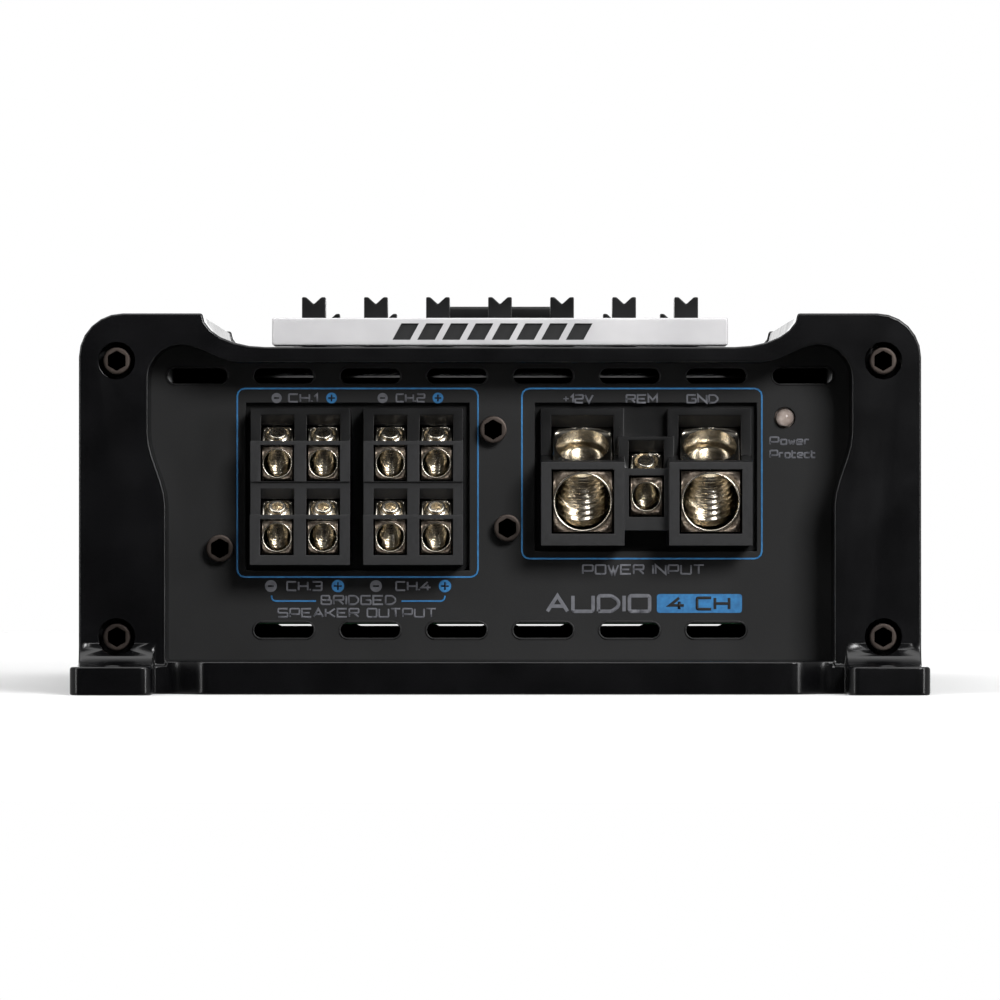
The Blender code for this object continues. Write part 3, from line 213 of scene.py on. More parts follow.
# %% [markdown]
# The terminal mouldings are glass-filled nylon from a spark-eroded tool: dull, with pale specks of glass on the
# faces that the tool textured, and smooth further in, where they are also painted a deeper black as painted shade.
# The status LED is epoxy with a milky filler, so its dome looks soft and pale. The markings are screen-printed ink,
# a few hundredths of a millimetre thick, which dries matt. The jacks have glossy cores, red for right and white for
# left.
#
# Inside, solder mask makes the laminate a glossy dark green, enamel makes copper wire look varnished, a shrunk
# sleeve pulls smooth and shiny over a can of stamped aluminium, and moulded epoxy is dull and slightly grainy.

# %% Plastics, inks and the parts inside
nylon = surface("glass_filled_nylon", ("#101011", "#1b1b1d"), (0.5, 0.64), 0.16 * MM, 0.014 * MM, patch=0.5 * MM)
# The second nylon is smoother, and its deeper black is painted shade for the faces far back in the opening.
nylon_in_painted_shade = surface("smooth_black_nylon", ("#070708", "#0b0b0c"), (0.3, 0.4), 0.3 * MM, 0.003 * MM)
milky = surface("milky_epoxy_lens", ("#9c8c83", "#c2b5ad"), (0.22, 0.3), 0.4 * MM, 0.002 * MM, patch=1.5 * MM)
grey_ink = surface("grey_screen_ink", ("#5e5f65", "#6f7076"), (0.5, 0.6), 0.2 * MM, 0.004 * MM, patch=1 * MM)
blue_ink = surface("blue_screen_ink", ("#1f659b", "#2b7fba"), (0.45, 0.55), 0.2 * MM, 0.004 * MM, patch=1 * MM)
white_ink = surface("white_pad_ink", ("#c9c9c6", "#dededa"), (0.5, 0.6), 0.2 * MM, 0.004 * MM, patch=1 * MM)
red_plastic = surface("red_jack_insert", ("#8c1512", "#a81f19"), (0.3, 0.4), 0.3 * MM, 0.004 * MM)
white_plastic = surface("white_jack_insert", ("#cfccc4", "#e2dfd8"), (0.3, 0.4), 0.3 * MM, 0.004 * MM)
laminate = surface("green_solder_mask", ("#0d3a20", "#14532c"), (0.3, 0.45), 1.2 * MM, 0.03 * MM, patch=3 * MM)
copper = surface("enamelled_copper_wire", ("#8a4318", "#b5632c"), (0.25, 0.35), 0.5 * MM, 0.01 * MM, 0.85)
sleeve = surface("shrink_sleeve", ("#10131f", "#191e30"), (0.25, 0.35), 0.6 * MM, 0.005 * MM)
can_top = surface("stamped_aluminium_can", ("#a9a9ab", "#c4c4c6"), (0.3, 0.42), 0.3 * MM, 0.004 * MM, 0.9)
package = surface("moulded_epoxy_package", ("#161617", "#202022"), (0.5, 0.6), 0.25 * MM, 0.02 * MM)
print("finishes in all:", len(bpy.data.materials))

# %% [markdown]
# ## From a shape to a piece
# A shape is worked on as a bmesh, already in its final place, so the object that holds it stays at the origin.
# Shading is smooth up to 48 degrees and sharp beyond. Weighted normals then keep large flats flat, so that only
# the small faces of a rounded edge shade round.

# %% A helper that makes a finished piece
SMOOTH_UP_TO = math.radians(48)


def settle(shape, name, finish, body=CASE, stands_for=()):
    """Turns a bmesh in its final place into a piece that rides on a body and takes over some solids."""
    bmesh.ops.recalc_face_normals(shape, faces=shape.faces)
    mesh = bpy.data.meshes.new(name)
    shape.to_mesh(mesh)
    shape.free()
    mesh.materials.append(finish)
    mesh.shade_smooth()
    mesh.set_sharp_from_angle(angle=SMOOTH_UP_TO)
    piece = bpy.data.objects.new(name, mesh)
    bpy.context.scene.collection.objects.link(piece)
    weighted = piece.modifiers.new("flat_faces_stay_flat", "WEIGHTED_NORMAL")
    weighted.keep_sharp = True
    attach(piece, body)
    if stands_for:
        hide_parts(*stands_for)
    return piece

# %% [markdown]
# ## Softening a solid
# Machined and cast edges are never sharp, and a rounded edge is what catches the light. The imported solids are
# loose triangles, so a copy is merged, its flat faces are made whole again, and its sharp edges are bevelled. A
# Bevel modifier would do the same, but in a bmesh the edges to leave alone can be picked by where they are.

# %% Helpers that merge and soften a solid
FLAT_WITHIN, SHARP_OVER = math.radians(0.8), math.radians(32)


def merged(node, whole=True):
    """A bmesh of a solid, with its triangles joined back into whole flat faces where none has a window in it."""
    shape = bmesh.new()
    shape.from_mesh(frame["nodes"][node].data)
    bmesh.ops.remove_doubles(shape, verts=shape.verts, dist=0.002 * MM)
    if whole:
        bmesh.ops.dissolve_limit(shape, angle_limit=FLAT_WITHIN, verts=shape.verts, edges=shape.edges)
    return shape


def round_edges(shape, width, segments=3, where=None):
    """Bevels every sharp edge, or those of them that where accepts."""
    sharp = [e for e in shape.edges if len(e.link_faces) == 2 and e.calc_face_angle() > SHARP_OVER]
    sharp = [e for e in sharp if where is None or where(e)]
    bmesh.ops.bevel(
        shape, geom=sharp, offset=width, affect="EDGES", segments=segments, profile=0.5, material=-1
    )
    return len(sharp)


def soften(node, finish, width, segments=3, where=None, whole=True):
    shape = merged(node, whole)
    count = round_edges(shape, width, segments, where=where)
    piece = settle(shape, "finished_" + node, finish, CASE, [node])
    print(node, count, "edges rounded,", len(piece.data.polygons), "faces")
    return piece

# %% [markdown]
# ## End caps, extrusion and panels
# The caps are castings with a radius of a few tenths of a millimetre on every edge; those thin lights draw the
# opening, the ears and the shoulders. The counterbores are cut after casting, so the edges near a screw's axis
# stay sharp.

# %% Where the screws are
SCREWS = ("front_cap_screw", "rear_cap_screw", "panel_screw")
screw_nodes = [name for name in frame["nodes"] if name.startswith(SCREWS)]
COUNTERBORE = 4 * MM  # a little more than its radius
screw_axes = {node: (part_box(node)[0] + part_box(node)[1]) / 2 for node in screw_nodes}


def clear_of_screws(edge):
    """Counterbores keep the sharp rim that their cutter left."""
    middle = (edge.verts[0].co + edge.verts[1].co) / 2
    return all((middle.xz - at.xz).length > COUNTERBORE for at in screw_axes.values())


print("screws in the case:", len(screw_nodes))

# %% [markdown]
# The solid of a panel has only a few flats round each slot's end. Subdividing them would leave dents, and cutting
# the slots again would cost the panel its own mesh. So the corners are moved out a little, and a round rim of
# coating, printed further down, covers them.

# %% Slots of a panel
SLOT_LENGTH, SLOT_HEIGHT, SLOT_PITCH = 10.5 * MM, 2.7 * MM, 15.3 * MM
SLOT_ROWS = ((8, 56 * MM), (6, 11 * MM))  # how many, at what height
SLOT_GAP = 0.1 * MM  # how far the punched edge stands back from the rim of coating
END_FLAT = math.radians(60)  # a slot's half-round end has three flats in the solid


def slot_places():
    """The centre of every slot, in the plane of the panel."""
    return [((i - (count - 1) / 2) * SLOT_PITCH, z) for count, z in SLOT_ROWS for i in range(count)]


def punched_panel(node):
    """A softened panel; the few flats at its slots' ends move out, to lie behind the round rims of coating."""
    shape, radius, moved_out = merged(node), SLOT_HEIGHT / 2, set()
    reach = (SLOT_LENGTH - SLOT_HEIGHT) / 2
    centres = [Vector((x + side * reach, z)) for x, z in slot_places() for side in (-1, 1)]
    for vert in shape.verts:
        centre = min(centres, key=lambda c: (vert.co.xz - c).length)
        arm = vert.co.xz - centre
        if abs(arm.length - radius) < 0.02 * MM:
            at_end = abs(arm.x) > 0.5 * radius
            arm = arm.normalized() * ((radius / math.cos(END_FLAT / 2) if at_end else radius) + SLOT_GAP)
            vert.co.x, vert.co.z = centre + arm
            moved_out.add(vert)
    round_edges(shape, 0.15 * MM, 2, where=lambda edge: not moved_out.intersection(edge.verts))
    settle(shape, "finished_" + node, powder, CASE, [node])
    print(node, len(moved_out), "corners of slots moved out")


print("slots in a panel:", len(slot_places()))

# %% [markdown]
# A sawn extrusion and a punched panel have smaller roundings than a casting. The plate on the fins and the
# bottom plate are cut from sheet, so they get the same small ones.

# %% Caps, heatsink, panels and plates
for end in ("front", "rear"):
    soften(end + "_end_cap", cast_coat, 0.4 * MM, where=clear_of_screws)
soften("heatsink", anodised, 0.2 * MM, 2)
for plate in ("terminal_panel", "signal_panel"):
    punched_panel(plate)
soften("bottom_plate", powder, 0.2 * MM, 2)
soften("badge_plate", anodised, 0.2 * MM, 2)

# %% [markdown]
# ## Round things and screws
# A lathe is the natural way to a round piece: its half section is drawn once and spun about an axis. Where two
# corners of the section lie on the axis, the spin leaves one copy of them for each step, so doubles are merged.

# %% A lathe, and a shape put in its place
UP = Vector((0, 0, 1))


def turned(section, steps=48):
    """Spins a half section of (radius, height) corners about the Z axis."""
    shape = bmesh.new()
    corners = [shape.verts.new((r, 0, h)) for r, h in section]
    sides = [shape.edges.new(pair) for pair in zip(corners, corners[1:])]
    about = dict(cent=(0, 0, 0), axis=UP, angle=2 * math.pi)
    bmesh.ops.spin(shape, geom=corners + sides, steps=steps, use_merge=True, **about)
    bmesh.ops.remove_doubles(shape, verts=shape.verts, dist=0.0005 * MM)
    return shape


def moved(shape, place):
    bmesh.ops.transform(shape, matrix=place, verts=shape.verts)
    return shape


def pointing(direction, at):
    """The place of a shape whose Z axis turns to a direction and whose origin goes to a point."""
    turn = Vector(direction).to_track_quat("Z", "Y").to_matrix().to_4x4()
    return Matrix.Translation(at) @ turn


def rounded(corner, radius, start, end, steps=4):
    """Corners of a section along an arc about a point, from one angle in degrees to another."""
    angles = [math.radians(start + (end - start) * i / steps) for i in range(steps + 1)]
    return [(corner[0] + radius * math.cos(a), corner[1] + radius * math.sin(a)) for a in angles]

# %% [markdown]
# A socket screw has a round rim and a six-sided recess. The rim is turned with 48 steps, and a hexagon whose six
# edges are each cut in eight has 48 corners too, so the two loops bridge with clean quads. The hexagon is then
# extruded down and drawn to a point, as the drill leaves it. Socket screws and set screws share this recess.

# %% A key socket sunk into the open top of a turned shape
def sink_socket(shape, top, across, depth, cone):
    rim = [e for e in shape.edges if e.is_boundary]
    place = Matrix.Translation((0, 0, top))
    hexagon = bmesh.ops.create_circle(shape, segments=6, radius=across, matrix=place)["verts"]
    sides = list({e for v in hexagon for e in v.link_edges})
    bmesh.ops.subdivide_edges(shape, edges=sides, cuts=7)
    loop = [e for e in shape.edges if e.is_wire]
    bmesh.ops.bridge_loops(shape, edges=rim + loop)
    for drop, size in ((0.1 * MM, 0.93), (depth, 1.0), (cone, 0.02)):
        wall = bmesh.ops.extrude_edge_only(shape, edges=loop)["geom"]
        lower = [v for v in wall if isinstance(v, bmesh.types.BMVert)]
        loop = [e for e in wall if isinstance(e, bmesh.types.BMEdge)]
        loop = [e for e in loop if e.verts[0] in lower and e.verts[1] in lower]
        bmesh.ops.translate(shape, verts=lower, vec=(0, 0, -drop))
        bmesh.ops.scale(shape, verts=lower, vec=(size, size, 1))
    bmesh.ops.contextual_create(shape, geom=loop)

# %% [markdown]
# The screws of the case are M3 socket screws. Head and shank are one section from the open top inwards, so the
# recess can start at its first corner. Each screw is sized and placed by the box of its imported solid.

# %% Socket screws
SOCKET_RIM, SOCKET, SHANK = 1.9 * MM, 1.8 * MM, 1.45 * MM  # radii
CAP_HEAD, PANEL_HEAD = 2.6 * MM, 2.2 * MM  # heights


def socket_screw(head_radius, head_height, shank_length):
    edge, chamfer = 0.22 * MM, 0.3 * MM
    section = [(SOCKET_RIM, head_height)]
    section += rounded((head_radius - edge, head_height - edge), edge, 90, 0)
    section += [(head_radius, 0.1 * MM), (head_radius - 0.1 * MM, 0), (SHANK, 0)]
    section += [(SHANK, chamfer - shank_length), (SHANK - chamfer, -shank_length), (0, -shank_length)]
    screw = turned(section)
    sink_socket(screw, head_height, SOCKET, 1.1 * MM, 0.35 * MM)
    return screw


for node in screw_nodes:
    low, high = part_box(node)
    outwards = 1 if node.startswith("rear") else -1
    head = PANEL_HEAD if node.startswith("panel") else CAP_HEAD
    tip = high.y if outwards > 0 else low.y
    under_head = ((low.x + high.x) / 2, tip - outwards * head, (low.z + high.z) / 2)
    screw = socket_screw((high.x - low.x) / 2, head, high.y - low.y - head)
    moved(screw, pointing((0, outwards, 0), under_head))
    settle(screw, "finished_" + node, blacked, CASE, [node])
print("socket screws:", len(screw_nodes))

# %% [markdown]
# ## Set screws
# A set screw is a short threaded rod with a key socket. Its thread really is a helix: a small closed outline of
# one tooth is spun about the axis, and each step also lifts it by a share of the pitch. The ends of that coil
# are closed, and it sits on a plain turned core. Speaker and remote screws are M4, with a pitch of 0.7 mm, and
# the supply screws have a pitch of 1.25 mm.

# %% A threaded rod with a key socket
def threaded_rod(radius, length, pitch, across, steps=32):
    """A set screw from z = 0 at its tip to z = length at its socket."""
    depth = 0.5 * pitch
    core, taper = radius - depth, 0.5 * pitch
    section = [(0, 0), (core - taper, 0), (core, taper), (core, length - 0.2 * MM)]
    section += [(core - 0.2 * MM, length), (across * 1.12, length)]
    rod = turned(section)
    sink_socket(rod, length, across, across * 1.6, across * 0.2)
    waves = [i / 8 for i in range(9)]  # a tooth stops a hair short of its pitch, so turns share no face
    outline = [(core + depth * (1 - math.cos(2 * math.pi * t)) / 2, (0.01 + 0.98 * t) * pitch) for t in waves]
    outline = [(core - 0.1 * pitch, 0.01 * pitch)] + outline + [(core - 0.1 * pitch, 0.99 * pitch)]
    tooth = [rod.verts.new((r, 0, h + taper)) for r, h in outline]
    ring = [rod.edges.new(pair) for pair in zip(tooth, tooth[1:] + tooth[:1])]
    turns = int((length - 2 * taper) / pitch - 0.9)
    sweep = dict(cent=(0, 0, 0), axis=UP, angle=2 * math.pi * turns, steps=steps * turns)
    made = bmesh.ops.spin(rod, geom=tooth + ring, dvec=(0, 0, pitch / steps), use_duplicate=False, **sweep)
    last = [e for e in made["geom_last"] if isinstance(e, bmesh.types.BMEdge)]
    for end in (ring, last):
        bmesh.ops.contextual_create(rod, geom=end)
    return rod, turns

# %% [markdown]
# The set screws lean, so their boxes say little. The middle line, length and radius of each are measured along
# its joint's axis instead, and each one rides on its own body.

# %% A set screw for each joint that travels
def along(node, direction):
    """Where a solid's middle line starts and how long it is, along a direction."""
    points = [v.co for v in frame["nodes"][node].data.vertices]
    side = direction.cross(Vector((1, 0, 0))).normalized()
    spans = []
    for axis in (Vector((1, 0, 0)), side, direction):
        reach = [p.dot(axis) for p in points]
        spans.append((axis, min(reach), max(reach)))
    start = sum((axis * (low + high) / 2 for axis, low, high in spans[:2]), direction * spans[2][1])
    return start, spans[2][2] - spans[2][1], (spans[0][2] - spans[0][1]) / 2


set_screws = [joint for joint in frame["joints"] if "set_screw" in joint["name"]]
for joint in set_screws:
    node = joint["name"].replace("_travel", "")
    direction = Vector(joint["axis"]).normalized()
    start, length, radius = along(node, direction)
    large = radius > 3 * MM
    pitch, across = (1.25 * MM, 2.7 * MM) if large else (0.7 * MM, 1.1 * MM)
    rod, turns = threaded_rod(radius, length, pitch, across, 48 if large else 32)
    moved(rod, pointing(direction, start))
    settle(rod, "finished_" + node, nickel, node, [node])
    if node.endswith("1") or "speaker" not in node:
        print(node, round(length / MM, 1), "mm long,", turns, "turns,", round(radius / MM, 2), "mm radius")

# %% [markdown]
# ## Terminal blocks and wire clamps
# The blocks are single mouldings whose imported solids have the right pockets, so their edges are rounded and the
# rest is kept. Only the noses that stand out in the opening are textured; behind them the nylon is smooth, and
# painted a deeper black as painted shade. The clamps are cut from brass bar. A bevel would crumple on the thin
# triangles round their holes, so they keep sharp outer edges, and their front faces show the saw's marks.

# %% Housings and clamps
NOSE_DEPTH = 5.8 * MM  # how far behind the cap's face the texture ends and the painted shade begins
for node in ("speaker_terminal_housing", "power_terminal_housing"):
    housing = soften(node, nylon, 0.1 * MM, 2, whole=False)
    housing.data.materials.append(nylon_in_painted_shade)
    # Faces far back in the opening take the second nylon, whose deeper black is painted shade.
    for face in housing.data.polygons:
        face.material_index = int(face.center.y > face_y + NOSE_DEPTH)
clamp_nodes = [name for name in frame["nodes"] if name.endswith("clamp") or "_clamp_" in name]
for node in clamp_nodes:
    clamp = settle(merged(node, whole=False), "finished_" + node, nickel, CASE, [node])
    clamp.data.materials.append(sawn_nickel)
    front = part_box(node)[0].y
    for face in clamp.data.polygons:
        face.material_index = int(face.center.y < front + 0.01 * MM)
print("clamps:", len(clamp_nodes))

# %% [markdown]
# The wire hole of a clamp has a broken edge that shines all the way round. It is turned as a thin bead, half sunk
# in the clamp's face, from a small circle spun about the hole.

# %% Bright rims of the wire holes
HOLES = {  # radius of the hole, thickness of its bead, height of its centre over the clamp's foot
    "supply": (5.1 * MM, 0.2 * MM, 5.3 * MM),
    "remote": (2.55 * MM, 0.13 * MM, 3.3 * MM),
    "speaker": (2.55 * MM, 0.13 * MM, 2.85 * MM),
}
for node in clamp_nodes:
    low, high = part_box(node)
    large = high.x - low.x > 8 * MM
    hole, bead, rise = HOLES["supply" if large else "remote" if "remote" in node else "speaker"]
    foot = min(v.co.z for v in frame["nodes"][node].data.vertices if v.co.y < low.y + 0.01 * MM)
    centre = ((low.x + high.x) / 2, low.y, foot + rise)
    rim = turned(rounded((hole, 0), bead, -90, 90, 6) + rounded((hole, 0), bead, 90, 270, 6), 40)
    settle(moved(rim, pointing((0, -1, 0), centre)), node + "_rim", nickel)
print("rims of wire holes:", len(clamp_nodes))

# %% [markdown]
# ## The trim bar
# The bar is an aluminium extrusion, sawn to length, with a decoration milled into its face. The ends of the
# decoration are slanted, so the bar is first cut by slanted planes, which leave edges and no gap; the faces
# between two of them are then pushed in. The floors of the recesses are dull black, darker than the bar, for
# which the finish of the nylon serves as a second material.

# %% A bar with a row of slanted recesses
def cut_plane(shape, at, normal):
    everything = shape.verts[:] + shape.edges[:] + shape.faces[:]
    bmesh.ops.bisect_plane(shape, geom=everything, dist=1e-7, plane_co=at, plane_no=normal)


def recessed_bar(low, high, edge, front):
    """A bar whose front, towards front along Y, has slanted recesses in its middle."""
    shape = bmesh.new()
    size, middle = high - low, (high + low) / 2
    bmesh.ops.create_cube(shape, size=1, matrix=Matrix.Translation(middle) @ Matrix.Diagonal((*size, 1)))
    bmesh.ops.bevel(
        shape, geom=shape.edges[:], offset=edge, affect="EDGES", segments=4, profile=0.5, material=-1
    )
    lean = Vector((1, 0, -0.55)).normalized()
    pitch, width, count = 4.35 * MM, 3.1 * MM, 8
    margin, depth, shift = 0.95 * MM, 0.6 * MM, 0.7 * MM
    starts = [middle.x + (i - count / 2) * pitch - shift for i in range(count)]
    for start in starts:
        for x in (start, start + width):
            cut_plane(shape, (x, 0, middle.z), lean)
    for z in (low.z + margin, high.z - margin):
        cut_plane(shape, (0, 0, z), (0, 0, 1))
    front_y = low.y if front < 0 else high.y
    sunk = []
    for face in shape.faces:
        c = face.calc_center_median()
        if abs(c.y - front_y) > 1e-6 or not low.z + margin < c.z < high.z - margin:
            continue
        along_row = (c - Vector((0, 0, middle.z))).dot(lean) / lean.x
        if any(start < along_row < start + width for start in starts):
            sunk.append(face)
    pushed = bmesh.ops.extrude_face_region(shape, geom=sunk)["geom"]
    corners = [v for v in pushed if isinstance(v, bmesh.types.BMVert)]
    bmesh.ops.translate(shape, verts=corners, vec=(0, -front * depth, 0))
    bmesh.ops.delete(shape, geom=sunk, context="FACES_KEEP_BOUNDARY")
    for face in pushed:
        if isinstance(face, bmesh.types.BMFace):
            face.material_index = 1
    return shape, len(sunk)

# %% [markdown]
# Both caps carry the same bar, turned round, so one helper makes the two.

# %% Trim bars
for end, front in (("front", -1), ("rear", 1)):
    shape, count = recessed_bar(*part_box(end + "_trim_bar"), 0.3 * MM, front)
    bar = settle(shape, f"finished_{end}_trim_bar", silver, CASE, [end + "_trim_bar"])
    bar.data.materials.append(nylon)
    print(end, "trim bar:", count, "recesses")

# %% [markdown]
# ## Status light
# A 3 mm LED: a turned epoxy body with a domed tip and a flange that stops behind the panel.

# %% LED
low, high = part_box("status_led")
radius, flange, length = 1.55 * MM, 1.95 * MM, high.y - low.y
section = [(0, 0), (flange, 0), (flange, 1 * MM), (radius, 1 * MM)]
section += rounded((0, length - radius), radius, 0, 90, 8)
led = moved(turned(section), pointing((0, -1, 0), ((low.x + high.x) / 2, high.y, (low.z + high.z) / 2)))
settle(led, "status_lens", milky, CASE, ["status_led"])
print("LED length", round(length / MM, 1), "mm")

# %% [markdown]
# ## Printed markings
# The printing is a plain plotter alphabet: each letter is one or more strokes on a grid of six by six. A stroke
# starts as a wire of edges, its corners are bevelled round, the wire is pulled out into a low wall, and a
# Solidify modifier gives that wall the width of the pen. The labels only say what each terminal is.

# %% The alphabet
GLYPHS = {
    "A": "00 36 60,12 52", "B": "33 03 06 56 53 33,23 63 60 00 03", "C": "66 06 00 60", "D": "00 06 46 64 62 40 00",
    "E": "66 06 00 60,03 53", "F": "66 06 00,03 53", "G": "66 06 00 60 63 33", "H": "00 06,60 66,03 63",
    "I": "00 06", "K": "00 06,66 23 60,03 23", "L": "06 00 60", "M": "00 06 32 66 60", "N": "00 06 60 66",
    "O": "30 00 06 66 60 30", "P": "00 06 66 62 02", "R": "00 06 66 63 03,33 60", "S": "66 06 03 63 60 00",
    "T": "06 66,36 30", "U": "06 00 60 66", "V": "06 30 66", "W": "06 20 34 40 66", "X": "06 60,00 66",
    "1": "04 26 20", "2": "06 66 63 03 00 60", "3": "06 66 60 00,23 63", "4": "62 02 46,44 40", ".": "00 01",
    "+": "21 25,03 43", "o": "20 00 04 44 40 20", "w": "04 10 23 30 44", "e": "40 00 04 44 42 02",
    "r": "00 04 34", "t": "06 00 30,04 34", "c": "44 04 00 40",
}  # fmt: skip
SHARP = set("AEFHIKLMNTVWX14+.")
print("letters in the alphabet:", len(GLYPHS))

# %% [markdown]
# A line of text is first laid out in grid units, then fitted to its printed width. The panel that it lies on
# gives the depth, and the ink stands a few hundredths of a millimetre out of it.

# %% A printer of strokes, discs and frames
INK = 0.03 * MM
SPACE, LETTER_GAP = 4, 1.6  # in units of the alphabet's grid
panel_faces = {"front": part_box("terminal_panel")[0].y, "rear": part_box("signal_panel")[1].y}


class Print:
    """One colour of ink on one panel. Heights and places are in metres on the panel's face."""

    def __init__(self, end):
        self.side = -1 if end == "front" else 1
        self.face = panel_faces[end]
        self.lines, self.discs = bmesh.new(), bmesh.new()
        self.count = 0  # each stroke lies a hair higher than the last, so no two faces share a place

    def at(self, x, z):
        return Vector((-self.side * x, self.face + self.side * 0.004 * MM, z))

    def stroke(self, points, corner=0.0, steps=3):
        self.count += 1
        step = Vector((0, self.side * (self.count % 7) * 0.0012 * MM, 0))
        chain = [self.lines.verts.new(self.at(*p) + step) for p in points]
        for pair in zip(chain, chain[1:]):
            self.lines.edges.new(pair)
        if corner and len(chain) > 2:
            bmesh.ops.bevel(
                self.lines, geom=chain[1:-1], offset=corner, affect="VERTICES", segments=steps, profile=0.5,
                material=-1,
            )  # fmt: skip

    def write(self, text, x, z, width, height, left=False):
        """Fits a line of text to a width; x is its middle, or its left end."""
        places, pen = [], 0.0
        for letter in text:
            places.append(pen)
            if letter == " ":
                pen += SPACE
                continue
            pen += max(int(p[0]) for stroke in GLYPHS[letter].split(",") for p in stroke.split()) + LETTER_GAP
        unit = width / (pen - LETTER_GAP)
        start = x if left else x - width / 2
        for letter, place in zip(text, places):
            if letter == " ":
                continue
            for stroke in GLYPHS[letter].split(","):
                grid = [(int(across), int(up)) for across, up in stroke.split()]
                points = [(start + (place + a) * unit, z + (b / 6 - 0.5) * height) for a, b in grid]
                self.stroke(points, 0.0 if letter in SHARP else 0.13 * height)

    def disc(self, x, z, radius):
        turn = Matrix.Rotation(math.radians(90) * -self.side, 4, "X")
        place = Matrix.Translation(self.at(x, z)) @ turn
        bmesh.ops.create_circle(self.discs, cap_ends=True, segments=32, radius=radius, matrix=place)

    def frame(self, low_x, low_z, high_x, high_z, corner, steps=3):
        middle = (low_x + high_x) / 2
        corners = [(low_x, low_z), (low_x, high_z), (high_x, high_z), (high_x, low_z)]
        outline = [(middle, low_z), *corners, (middle, low_z)]
        self.stroke(outline, corner, steps)

    def plate(self, low_x, low_z, high_x, high_z, corner):
        """A filled block of ink with round corners."""
        corners = [(low_x, low_z), (low_x, high_z), (high_x, high_z), (high_x, low_z)]
        block = self.discs.faces.new([self.discs.verts.new(self.at(*p)) for p in corners])
        bmesh.ops.bevel(
            self.discs, geom=block.verts[:], offset=corner, affect="VERTICES", segments=4, profile=0.5,
            material=-1,
        )  # fmt: skip

    def finish(self, name, ink, pen, lift=1):
        """Gives the flat strokes and discs their thickness and makes pieces of them."""
        out = Vector((0, self.side * INK * lift, 0))
        print(name, "strokes:", self.count, "blocks and discs:", len(self.discs.faces))
        if self.lines.edges:
            walls = bmesh.ops.extrude_edge_only(self.lines, edges=self.lines.edges[:])["geom"]
            outer = [v for v in walls if isinstance(v, bmesh.types.BMVert)]
            bmesh.ops.translate(self.lines, verts=outer, vec=out)
            piece = settle(self.lines, name + "_lines", ink)
            width = piece.modifiers.new("pen_width", "SOLIDIFY")
            width.thickness, width.offset, width.use_even_offset = pen, 0, True
            piece.modifiers.move(1, 0)
        if self.discs.faces:
            pushed = bmesh.ops.extrude_face_region(self.discs, geom=self.discs.faces[:])["geom"]
            outer = [v for v in pushed if isinstance(v, bmesh.types.BMVert)]
            bmesh.ops.translate(self.discs, verts=outer, vec=out)
            settle(self.discs, name + "_discs", ink)


print("panel faces at", {end: round(y / MM, 1) for end, y in panel_faces.items()}, "mm")

# %% [markdown]
# Powder coat gathers at a punched edge, so every slot has a low rim. It is drawn by the same printer: a frame
# whose corners are so round that its ends are half circles.

# %% Rims of the slots
RIM_WIDTH = 0.36 * MM
half_x, half_z = (SLOT_LENGTH + RIM_WIDTH) / 2, (SLOT_HEIGHT + RIM_WIDTH) / 2
for end in ("front", "rear"):
    rims = Print(end)
    for x, z in slot_places():
        rims.frame(x - half_x, z - half_z, x + half_x, z + half_z, half_z * 0.998, 8)
    rims.finish(end + "_slot_rims", powder, RIM_WIDTH, 3)

# %% [markdown]
# The terminal end: grey words, blue frames and plus signs. A minus is a grey disc and a plus is a blue one, with
# the sign itself left unprinted; here the signs are thin dark strokes that lie on the discs.

# %% Channel names and signs of the terminal end
grey, blue, dark = Print("front"), Print("front"), Print("front")
UPPER_ROW, LOWER_ROW = 52.09 * MM, 18.81 * MM
signs = []  # (x, z, radius, is a plus)
for text, minus, word, plus in (("CH.1", -39.53, -34.87, -29.81), ("CH.2", -20.78, -15.86, -10.98)):
    grey.write(text, word * MM, UPPER_ROW, 5.0 * MM, 1.35 * MM)
    signs += [(minus * MM, UPPER_ROW, 0.9 * MM, False), (plus * MM, UPPER_ROW, 0.95 * MM, True)]
for text, minus, word, plus in (("CH.3", -40.55, -34.62, -28.68), ("CH.4", -21.95, -15.33, -9.74)):
    grey.write(text, word * MM, LOWER_ROW, 6.1 * MM, 1.5 * MM)
    signs += [(minus * MM, LOWER_ROW, 1.05 * MM, False), (plus * MM, LOWER_ROW, 1.1 * MM, True)]
for x, z, radius, is_plus in signs:
    (blue if is_plus else grey).disc(x, z, radius)
    arm = (0.62 if is_plus else 0.5) * radius
    dark.stroke([(x - arm, z), (x + arm, z)])
    if is_plus:
        dark.stroke([(x, z - arm), (x, z + arm)])
print("plus and minus signs:", len(signs))

# %% [markdown]
# The other words stand over or under what they name. Blue frames with round corners group the terminals, and a
# filled blue plate carries the number of channels.

# %% Words, frames and plates of the terminal end
words = (
    ("BRIDGED", -25.07, 16.33, 13.1, 1.5), ("SPEAKER OUTPUT", -25.31, 14.07, 27.9, 1.45),
    ("POWER INPUT", 25.35, 21.75, 21.4, 1.55), ("12V", 14.45, 51.95, 3.95, 1.35),
    ("REM", 25.08, 51.95, 5.4, 1.35), ("GND", 35.81, 51.95, 5.4, 1.35),
)  # fmt: skip
for text, x, z, width, height in words:
    grey.write(text, x * MM, z * MM, width * MM, height * MM)
grey.write("Power", 47.79 * MM, 44.53 * MM, 6.9 * MM, 1.25 * MM, left=True)
grey.write("Protect", 47.79 * MM, 42.18 * MM, 8.0 * MM, 1.25 * MM, left=True)

